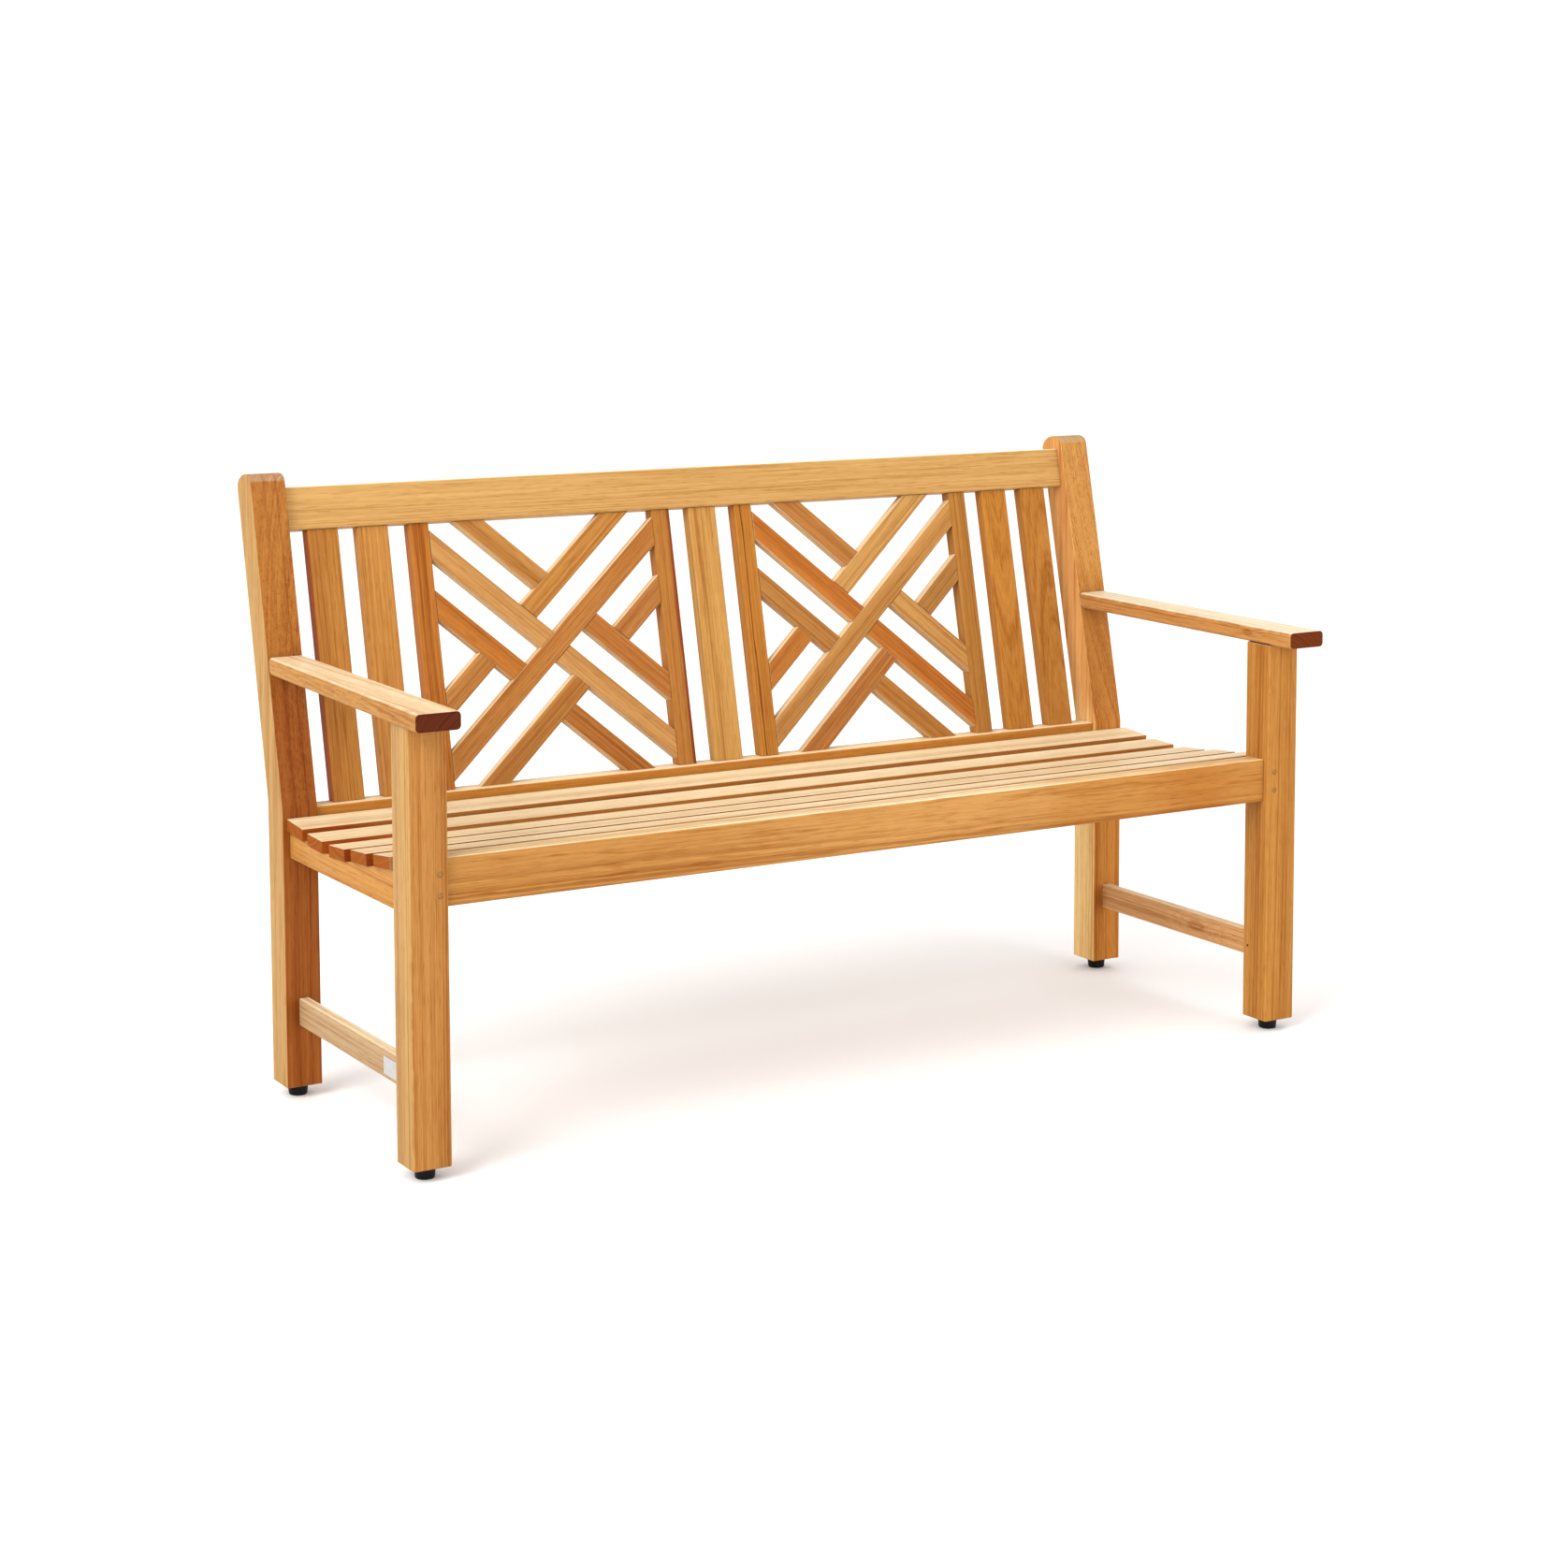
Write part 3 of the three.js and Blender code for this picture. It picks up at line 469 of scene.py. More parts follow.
def ease(bm, along, long_r, end_r, segments=3):
    """Rounds the arrises that run along the grain by long_r and those of the ends by end_r."""
    layer = bm.faces.layers.float.new("eased")
    along = Vector(along).normalized()

    def sharp(e):
        return len(e.link_faces) == 2 and e.calc_face_angle(0) > EASED_TURN

    def lengthwise(e):
        return abs((e.verts[1].co - e.verts[0].co).normalized().dot(along)) > NEARLY

    def bevel(edges, radius, steps):
        if edges and radius > 0:
            made = bmesh.ops.bevel(bm, geom=edges, offset=radius, segments=steps, profile=0.5,
                                   affect="EDGES", clamp_overlap=True, offset_type="OFFSET")
            for f in made["faces"]:
                f[layer] = 1.0

    bevel([e for e in bm.edges if sharp(e) and lengthwise(e)], long_r, segments)
    flat_ends = [f for f in bm.faces if abs(f.normal.dot(along)) > NEARLY and f[layer] < 0.5]
    bevel(list({e for f in flat_ends for e in f.edges if sharp(e)}), end_r, 3 if end_r > 0.001 else 1)


def weighted_normals(mesh):
    """Flat faces stay flat and the eased arrises turn smoothly."""
    normals = [Vector() for _ in mesh.vertices]
    for f in mesh.polygons:
        for v in f.vertices:
            normals[v] += f.normal * f.area
    mesh.shade_smooth()
    mesh.normals_split_custom_set_from_vertices([n.normalized() for n in normals])


def sharpen(mesh):
    """Smooth shading with sharp edges, for boards that were cut."""
    bm = bmesh.new()
    bm.from_mesh(mesh)
    bmesh.ops.remove_doubles(bm, verts=bm.verts, dist=WELD)
    for e in bm.edges:
        e.smooth = not (len(e.link_faces) == 2 and e.calc_face_angle(0) > CUT_TURN)
    for f in bm.faces:
        f.smooth = True
    bm.to_mesh(mesh)
    bm.free()


def object_from(name, bm, place):
    mesh = bpy.data.meshes.new(name)
    bm.to_mesh(mesh)
    bm.free()
    obj = bpy.data.objects.new(name, mesh)
    bpy.context.scene.collection.objects.link(obj)
    obj.matrix_world = place
    return obj


def finish_piece(name, bm, home, axes, material, node, cutters=()):
    """Turns a bmesh, in the frame called home, into an object whose own axes are the grain's."""
    centre = Vector([(min(v.co[i] for v in bm.verts) + max(v.co[i] for v in bm.verts)) / 2 for i in range(3)])
    turn = Matrix([Vector(a) for a in axes]).transposed().to_4x4()
    place = home @ Matrix.Translation(centre) @ turn
    bmesh.ops.transform(bm, matrix=place.inverted() @ home, verts=bm.verts)
    bmesh.ops.remove_doubles(bm, verts=bm.verts, dist=WELD)
    obj = object_from(name, bm, place)
    for cutter in cutters:
        modifier = obj.modifiers.new("cut", "BOOLEAN")
        modifier.operation, modifier.solver, modifier.object = "DIFFERENCE", "EXACT", cutter
    if cutters:
        bpy.context.view_layer.update()
        cut = bpy.data.meshes.new_from_object(obj.evaluated_get(bpy.context.evaluated_depsgraph_get()))
        obj.modifiers.clear()
        obj.data = cut
        for cutter in cutters:
            bpy.data.objects.remove(cutter)
        sharpen(cut)
    else:
        weighted_normals(obj.data)
    obj.data.name = name
    obj.data.materials.clear()
    obj.data.materials.append(material)
    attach(obj, "root")
    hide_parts(node)


UP = ((1, 0, 0), (0, 1, 0), (0, 0, 1))            # grain along Z
ALONG_X = ((0, 1, 0), (0, 0, 1), (1, 0, 0))       # grain along X
ALONG_Y = ((0, 0, 1), (1, 0, 0), (0, 1, 0))       # grain along Y
TOWARDS_FRONT = ((1, 0, 0), (0, 0, 1), (0, -1, 0))


def board(node, bm, axes, look, home=HOME, long_r=0.0025, end_r=0.0005, segments=3, cutters=(),
          swept=None, pale_line_at=None):
    """A wooden piece standing for one CAD node. swept is its sweep direction, if that is not the grain's. A
    painted highlight, a pale line across its front, goes at the height given by the last argument."""
    ease(bm, swept or axes[2], long_r, end_r, segments=segments)
    # painted highlight: the faces along a pale line across the front are marked as eased, so they go pale
    if pale_line_at:
        layer = bm.faces.layers.float["eased"]
        for f in bm.faces:
            if f.normal.y < -0.3 and pale_line_at - 0.001 < f.calc_center_median().z < pale_line_at + 0.004:
                f[layer] = 1.0
    material = wood("teak_" + node, **look)
    finish_piece("wood_" + node, bm, home, axes, material, node, cutters)


def round_bar(axis, u, v, start, stop, radius):
    """A round bar along x or y; u and v are its place on the other two axes, in order."""
    ring = [(u + a, v + b) for a, b in circle(radius, PEG_STEPS)]
    return sweep_x(ring, start, stop) if axis == "x" else sweep_y(ring, start, stop)


def on_side(side, a, b):
    return (a, b) if side > 0 else (-b, -a)


# ---------------------------------------------------------------- each board's wood
# multiplied into a face, or into a stretch of a board
GAP_SHADE_EDGE = 0xE2B98C                           # painted shade: the darker, redder edges of the seat slats, which face into the gaps
DEEP_GAP_SHADE_EDGE = 0xB88A62                          # the same painted shade, deeper, low in the dip of the seat
EDGE_PINK, EDGE_RED = 0xFFCCBC, 0xF3BC99     # those edges are redder towards their left ends
SHADED = 0xE2CBC5                            # the redder, darker lower part of a post
ARM_TOP_LEFT, ARM_TOP_RIGHT = 0xECE2DB, 0xF1F6FF       # the arms' tops lie in the brightest light
SHADED_RED_FLANK = 0xFFC4A0                         # painted shade: dark red, on the shaded left face of a back slat
MINUS_X, PLUS_X = (-1, 0, 0), (1, 0, 0)      # directions of two faces, in a board's own frame


def slat_look(tone, seed, pith, tilt, ring, edge, amount=1.0, edge_left=None):
    """A seat slat: edge, a painted shade, is multiplied into its front edge, and edge_left into that edge's
    left end; the painted gap shade goes more lightly into its rear edge.
    """
    flank_zones = [(-1.0, -0.64, edge_left, 1.0)] if edge_left else []
    return dict(tone=tone, rings=0.28, fibre=0.4, fleck=0.1, wear_and_highlight=0.3, seed=seed, pith=pith, tilt=tilt,
                ring=ring, end=0xC36A21, faces=[(MINUS_X, edge, amount), (PLUS_X, GAP_SHADE_EDGE, 0.6)],
                flank_zones=flank_zones)


ARM_LOOK = dict(rings=0.5, bands=0.35, end_from=0.25, top=1.0)
PEG_LOOK = dict(tone=AMBER, pith=(0.004, 0.002), ring=700, end=0xCC9450)
PIN_LOOK = dict(tone=RUSSET, pith=(0.003, 0.001), ring=900, end=0x6B3A1E)
# painted sheen: the bars' faces that look left are painted pale cream
BAR_LOOK = dict(flank=0.9, flank_tone=0xF7D09A, bands=0.5, rings=0.7, mottle=0.35)
LOOKS = {
    "rear_post_left": dict(
        tone=0xC07A36, fleck=0.6, seed=3, pith=(0.10, -0.07), ring=320, bands=0.5, flank=0.9,
        end=0xE6B482, end_from=0.16, zones=[(-1.0, 0.17, SHADED, 1.0)],
        streaks=[(-0.006, 0.0025, 0xDCC8BC, 0.35), (0.013, 0.0014, 0xCDB4A6, 0.5)]),
    # its left face is painted brighter, painted light where the bench's shade falls, and darker again above
    # the seat; the second zone is painted shade between seat and arm
    "rear_post_right": dict(
        tone=0xDA9A50, seed=7, pith=(0.12, 0.05), ring=300, flank=0.9, flank_tone=0xFFD48C, flank_light=1.25,
        end=0xF0C48C, end_from=0.16, flank_zones=[(-0.03, 1.0, 0xDDBEA4, 1.0)],
        zones=[(-1.0, -0.03, 0xFFECCD, 1.0), (-0.03, 0.2, 0xEAD6C0, 0.9)]),
    "front_leg_left": dict(tone=0xC88A48, seed=11, pith=(-0.09, -0.12), ring=300, bands=0.35, flank=0.85),
    "front_leg_right": dict(tone=0xC8873F, seed=13, pith=(0.08, -0.10), ring=260, mottle=0.5, flank=0.5,
                            flank_tone=0xE6A050),
    "armrest_left": dict(
        ARM_LOOK, tone=0xCF944D, seed=17, pith=(-0.05, 0.05), tilt=(1.4, 0.8), ring=240, end=0x74361E,
        faces=[(PLUS_X, ARM_TOP_LEFT, 1.0)],
        knots=[((-0.002, -0.034, 0.02), 0.0065), ((-0.006, -0.034, 0.16), 0.004)]),
    "armrest_right": dict(
        ARM_LOOK, tone=0xE0A05C, seed=19, pith=(-0.06, -0.05), tilt=(0.7, 0.9), ring=260, end=0x8A411C,
        faces=[(PLUS_X, ARM_TOP_RIGHT, 1.0)], knots=[((0.0, -0.033, -0.17), 0.005)]),
    "side_seat_rail_left": dict(tone=0xD8984C, top=0.15, seed=23, pith=(-0.12, 0.06), ring=220),
    "side_seat_rail_right": dict(tone=0xD09A58, top=0.15, seed=29, pith=(0.12, 0.06), ring=240),
    "side_stretcher_left": dict(tone=0xCCA678, seed=31, pith=(0.10, 0.10), ring=240),
    "side_stretcher_right": dict(tone=0xF4B87A, seed=37, pith=(-0.10, 0.08), ring=200,
                                 knots=[((0.0, -0.008, -0.055), 0.010)]),
    "front_seat_rail": dict(
        tone=0xD49853, fleck=0.9, top=0.95, wear_and_highlight=0.15, seed=41, pith=(-0.10, 0.03), tilt=(0.25, 0.2),
        ring=300, rings=0.7, bands=0.6, mottle=0.6,
        zones=[(-1.0, -0.3, 0xF6F0E6, 1.0), (0.3, 1.0, 0xF6EAD6, 1.0), (0.5, 0.62, 0xF0DCC0, 0.7)],
        streaks=[(0.006, 0.003, 0xDCC0A4, 0.45), (-0.012, 0.002, 0xE0C8B0, 0.4)]),
    "lower_back_rail": dict(tone=0xDA8D3B, seed=43, pith=(-0.08, 0.05), tilt=(0.2, 0.3), ring=260),
    "top_back_rail": dict(tone=0xDCA863, seed=47, pith=(0.10, 0.02), tilt=(0.1, 0.05), ring=400, rings=0.65,
                          bands=0.3, fibre=1.1, mottle=0.2),
    "centre_seat_bearer": dict(tone=AMBER, seed=53, ring=240),
    "seat_slat_1": slat_look(PALE, 59, (0.02, 0.12), (0.2, 0.3), 260, GAP_SHADE_EDGE, amount=0.3),
    "seat_slat_2": slat_look(PALE, 61, (0.05, 0.10), (0.2, 0.1), 300, DEEP_GAP_SHADE_EDGE, edge_left=EDGE_PINK),
    "seat_slat_3": slat_look(GOLD, 67, (-0.03, 0.11), (0.1, 0.3), 280, DEEP_GAP_SHADE_EDGE, edge_left=EDGE_PINK),
    "seat_slat_4": slat_look(PALE, 71, (0.06, 0.12), (0.3, 0.2), 260, GAP_SHADE_EDGE, edge_left=EDGE_RED),
    "seat_slat_5": slat_look(PALE, 73, (-0.05, 0.10), (0.1, 0.1), 300, GAP_SHADE_EDGE, edge_left=EDGE_RED),
    "back_slat_1": dict(
        tone=0xC7863F, seed=79, pith=(0.05, 0.045), tilt=(1.0, 0.6), ring=260, rings=0.65, bands=0.4,
        faces=[(MINUS_X, SHADED_RED_FLANK, 1.0)], streaks=[(-0.011, 0.004, 0xE8DCCC, 0.7)]),
    "back_slat_2": dict(tone=0xD08F47, seed=83, pith=(-0.08, 0.05), tilt=(0.3, 0.5), ring=300, bands=0.3),
    "back_stile_3": dict(
        tone=0xC87C34, seed=89, pith=(0.06, 0.03), tilt=(0.2, 0.8), ring=260, bands=0.6,
        streaks=[(0.002, 0.0025, 0xC8AE9C, 0.5), (-0.009, 0.0014, 0xC0A290, 0.55)]),
    "back_stile_4": dict(tone=0xC4813C, seed=97, pith=(-0.09, 0.03), tilt=(0.2, 0.3), ring=260, bands=0.4,
                         streaks=[(0.0135, 0.004, 0xC89078, 0.95)]),
    "back_slat_5": dict(tone=0xD89F55, seed=101, pith=(0.02, 0.12), tilt=(0.4, 0.5), ring=320, bands=0.3),
    "back_stile_6": dict(tone=0xCD8739, seed=103, pith=(-0.07, 0.04), tilt=(0.2, 0.3), ring=280, bands=0.5,
                         streaks=[(-0.006, 0.0012, 0xA8886C, 0.9)]),
    "back_stile_7": dict(tone=0xC2833D, seed=107, pith=(0.07, 0.04), tilt=(0.2, 0.4), ring=260, bands=0.6),
    "back_slat_8": dict(tone=0xCE883A, seed=109, pith=(0.004, 0.05), tilt=(2.8, 0.4), ring=280, rings=0.7),
    "back_slat_9": dict(tone=0xC7833A, seed=113, pith=(0.012, 0.045), tilt=(-3.2, 0.6), ring=280, rings=0.75),
}
BAR_TONES = {
    "left": dict(rising_top=0xD09048, rising_left=0xCC8C4A, rising_long=0xC98543, rising_bottom=0xCB8B48,
                 rising_right=0xC88547, falling_top=0xC98C48, falling_left=0xC67A33, falling_long=0xD89E5C,
                 falling_right=0xC87F3E, falling_bottom=0xC37C3C),
    "right": dict(rising_top=0xDCA660, rising_left=0xC67C38, rising_long=0xCE9350, rising_bottom=0xCA8648,
                  rising_right=0xBE8446, falling_top=0xCA8848, falling_left=0xC58846, falling_long=0xCB7A34,
                  falling_right=0xD69C58, falling_bottom=0xC48240),
}


# ---------------------------------------------------------------- outlines of the side frames and the seat
def post_outline():
    cap_half = POST_T / 2
    cap_z = TOP_Z - math.hypot(CAP_RISE * COS, cap_half * SIN)
    cap_y = post_front_y(cap_z + cap_half * SIN) + cap_half * COS
    cap = []
    for i in range(CAP_STEPS + 1):
        angle = math.pi * i / CAP_STEPS
        across, up = cap_half * math.cos(angle), CAP_RISE * math.sin(angle)
        cap.append((cap_y + across * COS + up * SIN, cap_z - across * SIN + up * COS))
    rear = POST_FRONT_Y + POST_D
    rear_kink = KINK_Z + (POST_D - POST_T / COS) / TAN
    return [(POST_FRONT_Y, FOOT_HEIGHT), (rear, FOOT_HEIGHT), (rear, rear_kink), *cap, (POST_FRONT_Y, KINK_Z)]


def slat_up(front, rear):
    """The direction in which a seat slat's top face looks, as (y, z)."""
    length = math.hypot(rear[0] - front[0], rear[1] - front[1])
    return -(rear[1] - front[1]) / length, (rear[0] - front[0]) / length


def under_slat(front, rear, depth):
    """A slat's front and rear edges, moved down through it by depth."""
    up = slat_up(front, rear)
    return [(y - up[0] * depth, z - up[1] * depth) for y, z in (front, rear)]


def bearer_outline(front, rear, bottom):
    """A bearer or side rail, whose top follows the undersides of the seat slats."""
    curve = [p for edges in SEAT_SLATS for p in under_slat(*edges, SLAT_T + GAP)]
    top = [p for p in curve if front < p[0] < rear]
    return [(front, bottom), (rear, bottom), (rear, curve[-1][1]), *top[::-1], (front, SIDE_RAIL_FRONT_TOP)]


# ---------------------------------------------------------------- feet and their plastic
def rounded_foot(x, y):
    """Lathed foot with a rounded sole edge and a fine parting line."""
    top = FOOT_HEIGHT - GAP
    wall = FOOT_SOLE_R + FOOT_EDGE

    def wall_r(z):
        return wall + (FOOT_R - wall) * (z - FOOT_EDGE) / (top - FOOT_EDGE)

    profile = [(0.0, 0.0), (FOOT_SOLE_R * 0.55, 0.0), (FOOT_SOLE_R, 0.0)]
    for i in range(1, FOOT_EDGE_STEPS + 1):
        a = math.pi / 2 * i / FOOT_EDGE_STEPS
        profile.append((FOOT_SOLE_R + FOOT_EDGE * math.sin(a), FOOT_EDGE * (1 - math.cos(a))))
    for z, dip in ((FOOT_GROOVE_Z - 2 * FOOT_GROOVE, 0.0), (FOOT_GROOVE_Z - FOOT_GROOVE, FOOT_GROOVE),
                   (FOOT_GROOVE_Z + FOOT_GROOVE, FOOT_GROOVE), (FOOT_GROOVE_Z + 2 * FOOT_GROOVE, 0.0),
                   (top - FOOT_TOP_EASE, 0.0), (top, FOOT_TOP_EASE)):
        profile.append((wall_r(z) - dip, z))
    profile.append((0.0, top))
    bm = bmesh.new()
    rings = []
    for r, z in profile:
        spots = circle(r, FOOT_STEPS) if r else [(0.0, 0.0)]
        rings.append([bm.verts.new((x + a, y + b, z)) for a, b in spots])
    for low, high in zip(rings, rings[1:]):
        for i in range(FOOT_STEPS):
            j = (i + 1) % FOOT_STEPS
            if len(low) == 1:
                bm.faces.new((low[0], high[j], high[i]))
            elif len(high) == 1:
                bm.faces.new((low[i], low[j], high[0]))
            else:
                bm.faces.new((low[i], low[j], high[j], high[i]))
    bmesh.ops.recalc_face_normals(bm, faces=bm.faces)
    return bm


def black_plastic():
    m, t, coords = new_material("black_plastic")
    grit = t.noise(coords, scale=2600.0, detail=3.0)
    dust = t.noise(coords, scale=160.0, detail=4.0, rough=0.6)
    colour = t.mix(t.remap(dust, 0.45, 0.75), (0.0035, 0.0033, 0.0036, 1), (0.010, 0.0095, 0.009, 1))
    t.surface(colour, t.remap(dust, 0.3, 0.7, 0.34, 0.55), 0.12, grit, 0.25, 0.0002)
    return m


# ---------------------------------------------------------------- posts, legs, arms and side frames
CAP_FRONT_Z = post_outline()[-2][1]
PLASTIC = black_plastic()


def rear_post(side, name):
    node = f"rear_post_{name}"
    board(node, sweep_x(post_outline(), *on_side(side, POST_INNER_X, HALF_WIDTH)), UP, LOOKS[node],
          long_r=0.0008, end_r=0.0042, swept=(1, 0, 0), pale_line_at=CAP_FRONT_Z)


def front_leg(side, name, peg_x, inner_x):
    node = f"front_leg_{name}"
    outline = [(0.0, FOOT_HEIGHT), (FRONT_LEG, FOOT_HEIGHT), (FRONT_LEG, arm_bottom_z(FRONT_LEG) - GAP),
               (0.0, arm_bottom_z(0) - GAP)]
    bores = [round_bar("y", peg_x, z, -THROUGH, PEG_HOLE, PEG_R + GAP / 2) for z in PEG_Z]
    span = sorted((inner_x - side * THROUGH, inner_x + side * PIN_HOLE))
    bores.append(round_bar("x", PIN_Y, PIN_Z, *span, PIN_R + GAP / 2))
    board(node, sweep_x(outline, *on_side(side, LEG_INNER_X, HALF_WIDTH)), UP, LOOKS[node],
          long_r=0.0028, end_r=0.0008, cutters=[object_from("cutter", bore, HOME) for bore in bores])


def armrest(side, name):
    """The top and bottom run up to the post, and the rear end is cut to its rake."""
    node = f"armrest_{name}"
    bottom_rear = arm_bottom_z(post_front_y(arm_bottom_z(0)) - GAP)
    top_rear = arm_top_z(post_front_y(arm_top_z(0)) - GAP)
    rear_y = post_front_y(top_rear) - GAP
    profile = [(ARM_FRONT_Y, arm_bottom_z(ARM_FRONT_Y)), (post_front_y(bottom_rear) - GAP, bottom_rear),
               (rear_y, top_rear), (ARM_FRONT_Y, arm_top_z(ARM_FRONT_Y))]

    def outer_x(y):
        taper = HALF_WIDTH - ARM_FRONT_OUTER_X
        return ARM_FRONT_OUTER_X + taper * (y - ARM_FRONT_Y) / (rear_y - ARM_FRONT_Y)

    arm = bmesh.new()
    polygon_prism(arm, [(side * ARM_INNER_X, y, z) for y, z in profile],
                  [(side * outer_x(y), y, z) for y, z in profile])
    board(node, arm, ALONG_Y, LOOKS[node], long_r=0.0065, end_r=0.0050, segments=5)


def side_rail_and_stretcher(side, name):
    span = (FRONT_LEG + GAP, POST_FRONT_Y - GAP)
    node = f"side_seat_rail_{name}"
    body = sweep_x(bearer_outline(*span, SIDE_RAIL_BOTTOM), *on_side(side, *SIDE_RAIL_X))
    board(node, body, ALONG_Y, LOOKS[node])
    node = f"side_stretcher_{name}"
    board(node, box(on_side(side, *STRETCHER_X), span, STRETCHER_Z), ALONG_Y, LOOKS[node], long_r=0.002)


def pegs_and_pin(side, name, peg_x, inner_x):
    for z, place in zip(PEG_Z, ("lower", "upper")):
        peg = round_bar("y", peg_x, z, 0.0, PEG_SHOWN, PEG_R - GAP / 2)
        look = dict(PEG_LOOK, seed=131 + z * 50 + side)
        board(f"rail_peg_{name}_{place}", peg, TOWARDS_FRONT, look, long_r=0.0)
    span = sorted((inner_x, inner_x + side * PIN_SHOWN))
    pin = round_bar("x", PIN_Y, PIN_Z, *span, PIN_R - GAP / 2)
    board(f"stretcher_pin_{name}", pin, ALONG_X, dict(PIN_LOOK, seed=149 + side), long_r=0.0, end_r=0.0003)


def feet(side, name):
    for place, x, y in (("front", LEG_MID_X, FRONT_LEG / 2), ("rear", POST_MID_X, POST_FRONT_Y + POST_D / 2)):
        node = f"foot_{place}_{name}"
        finish_piece("plastic_" + node, rounded_foot(side * x, y), HOME, UP, PLASTIC, node)


for side, name in ((-1, "left"), (1, "right")):
    peg_x, inner_x = side * (LEG_INNER_X + PEG_FROM_INNER_FACE), side * LEG_INNER_X
    rear_post(side, name)
    front_leg(side, name, peg_x, inner_x)
    armrest(side, name)
    side_rail_and_stretcher(side, name)
    pegs_and_pin(side, name, peg_x, inner_x)
    feet(side, name)


# ---------------------------------------------------------------- rails, bearer and seat
def rail(node, half_length, y, z, **settings):
    board(node, box((-half_length + GAP, half_length - GAP), y, z), ALONG_X, LOOKS[node], **settings)


rail("front_seat_rail", LEG_INNER_X, FRONT_RAIL_Y, FRONT_RAIL_Z, long_r=0.003)
rail("lower_back_rail", POST_INNER_X, BACK_RAIL_Y, BACK_RAIL_Z)
rail("top_back_rail", POST_INNER_X, TOP_RAIL_Y, (BACK_H, BACK_H + TOP_RAIL_H), home=BACK, long_r=0.0028)
outline = bearer_outline(FRONT_RAIL_Y[1] + GAP, BACK_RAIL_Y[0] - GAP, BEARER_BOTTOM)
bearer = sweep_x(outline, -BEARER_HALF_W, BEARER_HALF_W)
board("centre_seat_bearer", bearer, ALONG_Y, LOOKS["centre_seat_bearer"])

for i, (front, rear) in enumerate(SEAT_SLATS, 1):
    up = slat_up(front, rear)
    low_front, low_rear = under_slat(front, rear, SLAT_T)
    axes = ((0, up[1], -up[0]), (0, up[0], up[1]), (1, 0, 0))
    node = f"seat_slat_{i}"
    board(node, sweep_x([low_front, low_rear, rear, front], *SEAT_SLAT_X), axes, LOOKS[node],
          long_r=0.0009, end_r=0.0012)


# ---------------------------------------------------------------- back slats, stiles and lattice
def level_z(y):
    """The feet of the back's uprights are cut level, to stand on the lower back rail."""
    return y * TAN + GAP / COS


uprights = sorted([(x, BACK_SLAT_W, BACK_SLAT_T, "back_slat") for x in BACK_SLAT_X]
                  + [(x, STILE_W, STILE_T, "back_stile") for x in STILE_X])
for i, (x, width, depth, kind) in enumerate(uprights, 1):
    node = f"{kind}_{i}"
    outline = [(0, level_z(0)), (depth, level_z(depth)), (depth, BACK_H - GAP), (0, BACK_H - GAP)]
    board(node, sweep_x(outline, x - width / 2, x + width / 2), UP, LOOKS[node], home=BACK, long_r=0.0022)


def shift_line(line, k):
    """Moves a line, a (point, direction) pair, sideways by k."""
    (px, pz), (dx, dz) = line
    return (px - dz * k, pz + dx * k), (dx, dz)


def meet(a, b):
    """Where two lines cross."""
    (ax, az), (adx, adz) = a
    (bx, bz), (bdx, bdz) = b
    k = ((bx - ax) * bdz - (bz - az) * bdx) / (adx * bdz - adz * bdx)
    return ax + adx * k, az + adz * k


def bar_outline(centre, start, stop, half=BAR_W / 2):
    lower, upper = shift_line(centre, -half), shift_line(centre, half)
    return [meet(lower, start), meet(lower, stop), meet(upper, stop), meet(upper, start)]


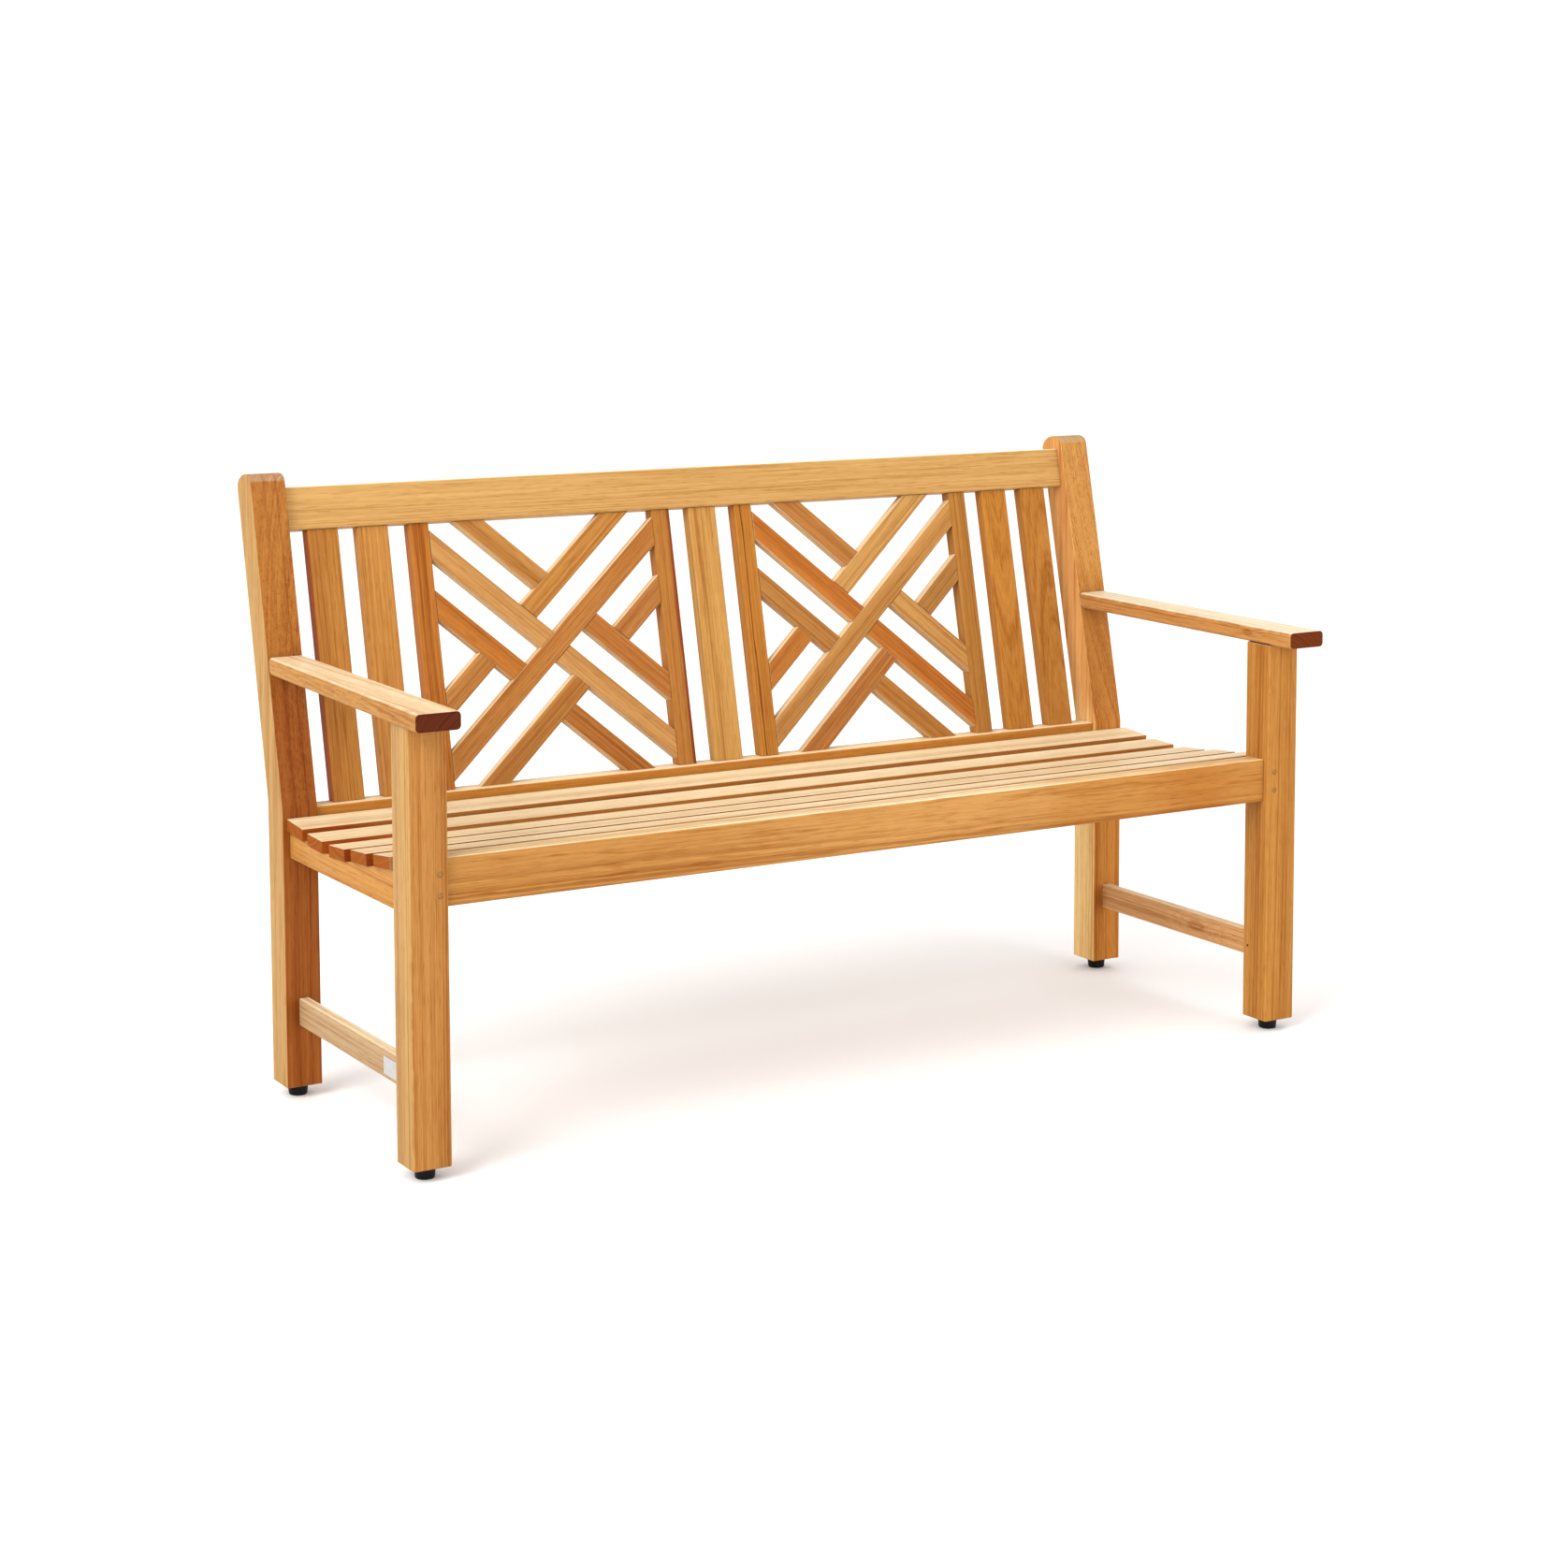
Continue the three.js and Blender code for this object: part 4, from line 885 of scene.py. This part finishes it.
def lattice(panel, x0, x1, first_seed):
    """Two long crossing bars, half-lapped, and eight that butt against them or each other."""
    ca, sa = math.cos(BAR_ANGLE), math.sin(BAR_ANGLE)
    middle = ((x0 + x1) / 2, BACK_H / 2)

    def rising(k):
        return shift_line((middle, (ca, sa)), k)

    def falling(k):
        return shift_line((middle, (ca, -sa)), k)

    left, right = ((x0 + GAP, 0.0), (0.0, 1.0)), ((x1 - GAP, 0.0), (0.0, 1.0))
    top, bottom = ((0.0, BACK_H - GAP), (1.0, 0.0)), ((0.0, -BAR_THROUGH), (1.0, 0.0))
    edge, pitch = BAR_W / 2 + GAP, BAR_PITCH
    bars = {
        "rising_top": (rising(pitch), falling(edge), top),
        "rising_left": (rising(pitch), left, falling(-pitch - edge)),
        "rising_bottom": (rising(-pitch), bottom, falling(-edge)),
        "rising_right": (rising(-pitch), falling(pitch + edge), right),
        "falling_top": (falling(pitch), top, rising(pitch + edge)),
        "falling_left": (falling(-pitch), left, rising(edge)),
        "falling_right": (falling(pitch), rising(-edge), right),
        "falling_bottom": (falling(-pitch), rising(-pitch - edge), bottom),
        "rising_long": (rising(0), left, right),
        "falling_long": (falling(0), left, right),
    }
    before, behind, lap = -BAR_THROUGH, BAR_T + BAR_THROUGH, BAR_T / 2
    for n, (key, (centre, start, stop)) in enumerate(bars.items()):
        d = (ca, 0.0, sa if key.startswith("rising") else -sa)
        axes = ((d[2], 0.0, -d[0]), (0.0, 1.0, 0.0), d)
        cuts = []
        if bottom in (start, stop):
            wedge = [(before, -BAR_W), (behind, -BAR_W), (behind, level_z(behind)), (before, level_z(before))]
            cuts.append(sweep_x(wedge, -HALF_WIDTH, HALF_WIDTH))
        if key == "rising_long":
            cuts.append(sweep_y(bar_outline(falling(0), left, right, edge), lap, behind))
        if key == "falling_long":
            cuts.append(sweep_y(bar_outline(rising(0), left, right, edge), before, lap + GAP))
        swing = (n * 37 % 11 - 5) / 5            # from -1 to 1: each bar comes from its own place in the log
        look = dict(BAR_LOOK, tone=BAR_TONES[panel][key], seed=first_seed + n * 4, ring=250 + 12 * (n % 5),
                    pith=(0.07 + 0.02 * swing, 0.06 - 0.025 * swing), tilt=(0.5 * swing, 0.7 * swing))
        cutters = [object_from("cutter", cut, BACK) for cut in cuts]
        board(f"lattice_{panel}_{key}", sweep_y(bar_outline(centre, start, stop), 0.0, BAR_T), axes, look,
              home=BACK, long_r=0.0016, end_r=0.0004, cutters=cutters)


lattice("left", STILE_X[0] + STILE_W / 2, STILE_X[1] - STILE_W / 2, 211)
lattice("right", STILE_X[2] + STILE_W / 2, STILE_X[3] - STILE_W / 2, 307)


# ---------------------------------------------------------------- blank label
def rounded_plate(x0, x1, y, z):
    r = LABEL_CORNER
    outline = []
    for cy, cz, start in ((y[1] - r, z[1] - r, 0), (y[0] + r, z[1] - r, 90),
                          (y[0] + r, z[0] + r, 180), (y[1] - r, z[0] + r, 270)):
        for i in range(LABEL_CORNER_STEPS + 1):
            a = math.radians(start + 90 * i / LABEL_CORNER_STEPS)
            outline.append((cy + r * math.cos(a), cz + r * math.sin(a)))
    return sweep_x(outline, x0, x1)


def label_film():
    m, t, coords = new_material("label_film")
    cloud = t.noise(coords, scale=90.0, detail=3.0)
    fibre = t.noise(coords, scale=1900.0)
    colour = t.mix(t.remap(cloud, 0.3, 0.7), (0.44, 0.43, 0.42, 1), (0.38, 0.37, 0.355, 1))
    t.surface(colour, t.remap(fibre, 0.3, 0.7, 0.38, 0.5), 0.3, t.add(cloud, t.mul(fibre, 0.1)), 0.2, 0.0003)
    return m


label_x = -HALF_WIDTH + LABEL_INSET - GAP
plate = rounded_plate(label_x - LABEL_T, label_x, LABEL_Y, LABEL_Z)
ease(plate, (1, 0, 0), 0.0, LABEL_EASE)
finish_piece("label_plate", plate, HOME, ALONG_X, label_film(), "blank_label")

# ---------------------------------------------------------------- stage, light and camera
FLOOR_STEPS, FLOOR_RADII = 96, (1.5, 4.0, 10.0, 60.0)
FLOOR_PALE, FLOOR_DARK = (0.94, 0.94, 0.935, 1), (0.92, 0.92, 0.915, 1)
LIGHT_TARGET, SKY_STRENGTH = (0, 0, 0.45), 1.15
CAMERA_AT, CAMERA_CLIP = (-2.287, -3.8321, 1.2634), (0.05, 100.0)
SENSOR, LENS, CAMERA_SHIFT = 36.0, 68.58, -0.17
YAW, PITCH, ROLL = math.radians(30.68), math.radians(5.607), math.radians(0.158)


def studio():
    """A plain pale floor that runs out into the white of the studio."""
    bm = bmesh.new()
    rings = [[bm.verts.new((a, b, 0)) for a, b in circle(r, FLOOR_STEPS)] for r in FLOOR_RADII]
    bm.faces.new(rings[0])
    for low, high in zip(rings, rings[1:]):
        for i in range(FLOOR_STEPS):
            j = (i + 1) % FLOOR_STEPS
            bm.faces.new((low[i], high[i], high[j], low[j]))
    floor = object_from("studio_floor", bm, Matrix.Identity(4))
    m = bpy.data.materials.new("studio_floor")
    m.use_nodes = True
    t = Tree(m.node_tree)
    shader = m.node_tree.nodes["Principled BSDF"]
    coords = t.node("ShaderNodeTexCoord").outputs["Object"]
    t.put(shader.inputs["Base Color"], t.mix(t.noise(coords, scale=0.8), FLOOR_PALE, FLOOR_DARK))
    shader.inputs["Roughness"].default_value = 0.9
    shader.inputs["Specular IOR Level"].default_value = 0.1
    floor.data.materials.append(m)


def area_light(name, location, size, power):
    data = bpy.data.lights.new(name, "AREA")
    data.shape, data.size, data.energy = "DISK", size, power
    obj = bpy.data.objects.new(name, data)
    obj.location = location
    obj.rotation_mode = "QUATERNION"
    obj.rotation_quaternion = (Vector(LIGHT_TARGET) - Vector(location)).to_track_quat("-Z", "Y")
    bpy.context.scene.collection.objects.link(obj)


def sky():
    world = bpy.data.worlds.new("studio_world")
    world.use_nodes = True
    background = world.node_tree.nodes["Background"].inputs
    background["Color"].default_value = (1.0, 1.0, 1.0, 1)
    background["Strength"].default_value = SKY_STRENGTH
    bpy.context.scene.world = world
    bpy.context.scene.view_settings.view_transform = "Standard"


def camera():
    data = bpy.data.cameras.new("camera")
    data.sensor_width, data.lens, data.shift_y = SENSOR, LENS, CAMERA_SHIFT
    data.clip_start, data.clip_end = CAMERA_CLIP
    obj = bpy.data.objects.new("camera", data)
    obj.location = CAMERA_AT
    forward = Vector((math.sin(YAW) * math.cos(PITCH), math.cos(YAW) * math.cos(PITCH), -math.sin(PITCH)))
    level = forward.to_track_quat("-Z", "Y")
    obj.rotation_mode = "QUATERNION"
    obj.rotation_quaternion = level @ Matrix.Rotation(-ROLL, 3, "Z").to_quaternion()
    bpy.context.scene.collection.objects.link(obj)
    bpy.context.scene.camera = obj


studio()
area_light("key_light", (-7.5, -3.0, 5.8), 6.0, 640)
area_light("fill_light", (2.2, -6.0, 1.1), 3.2, 120)
sky()
camera()
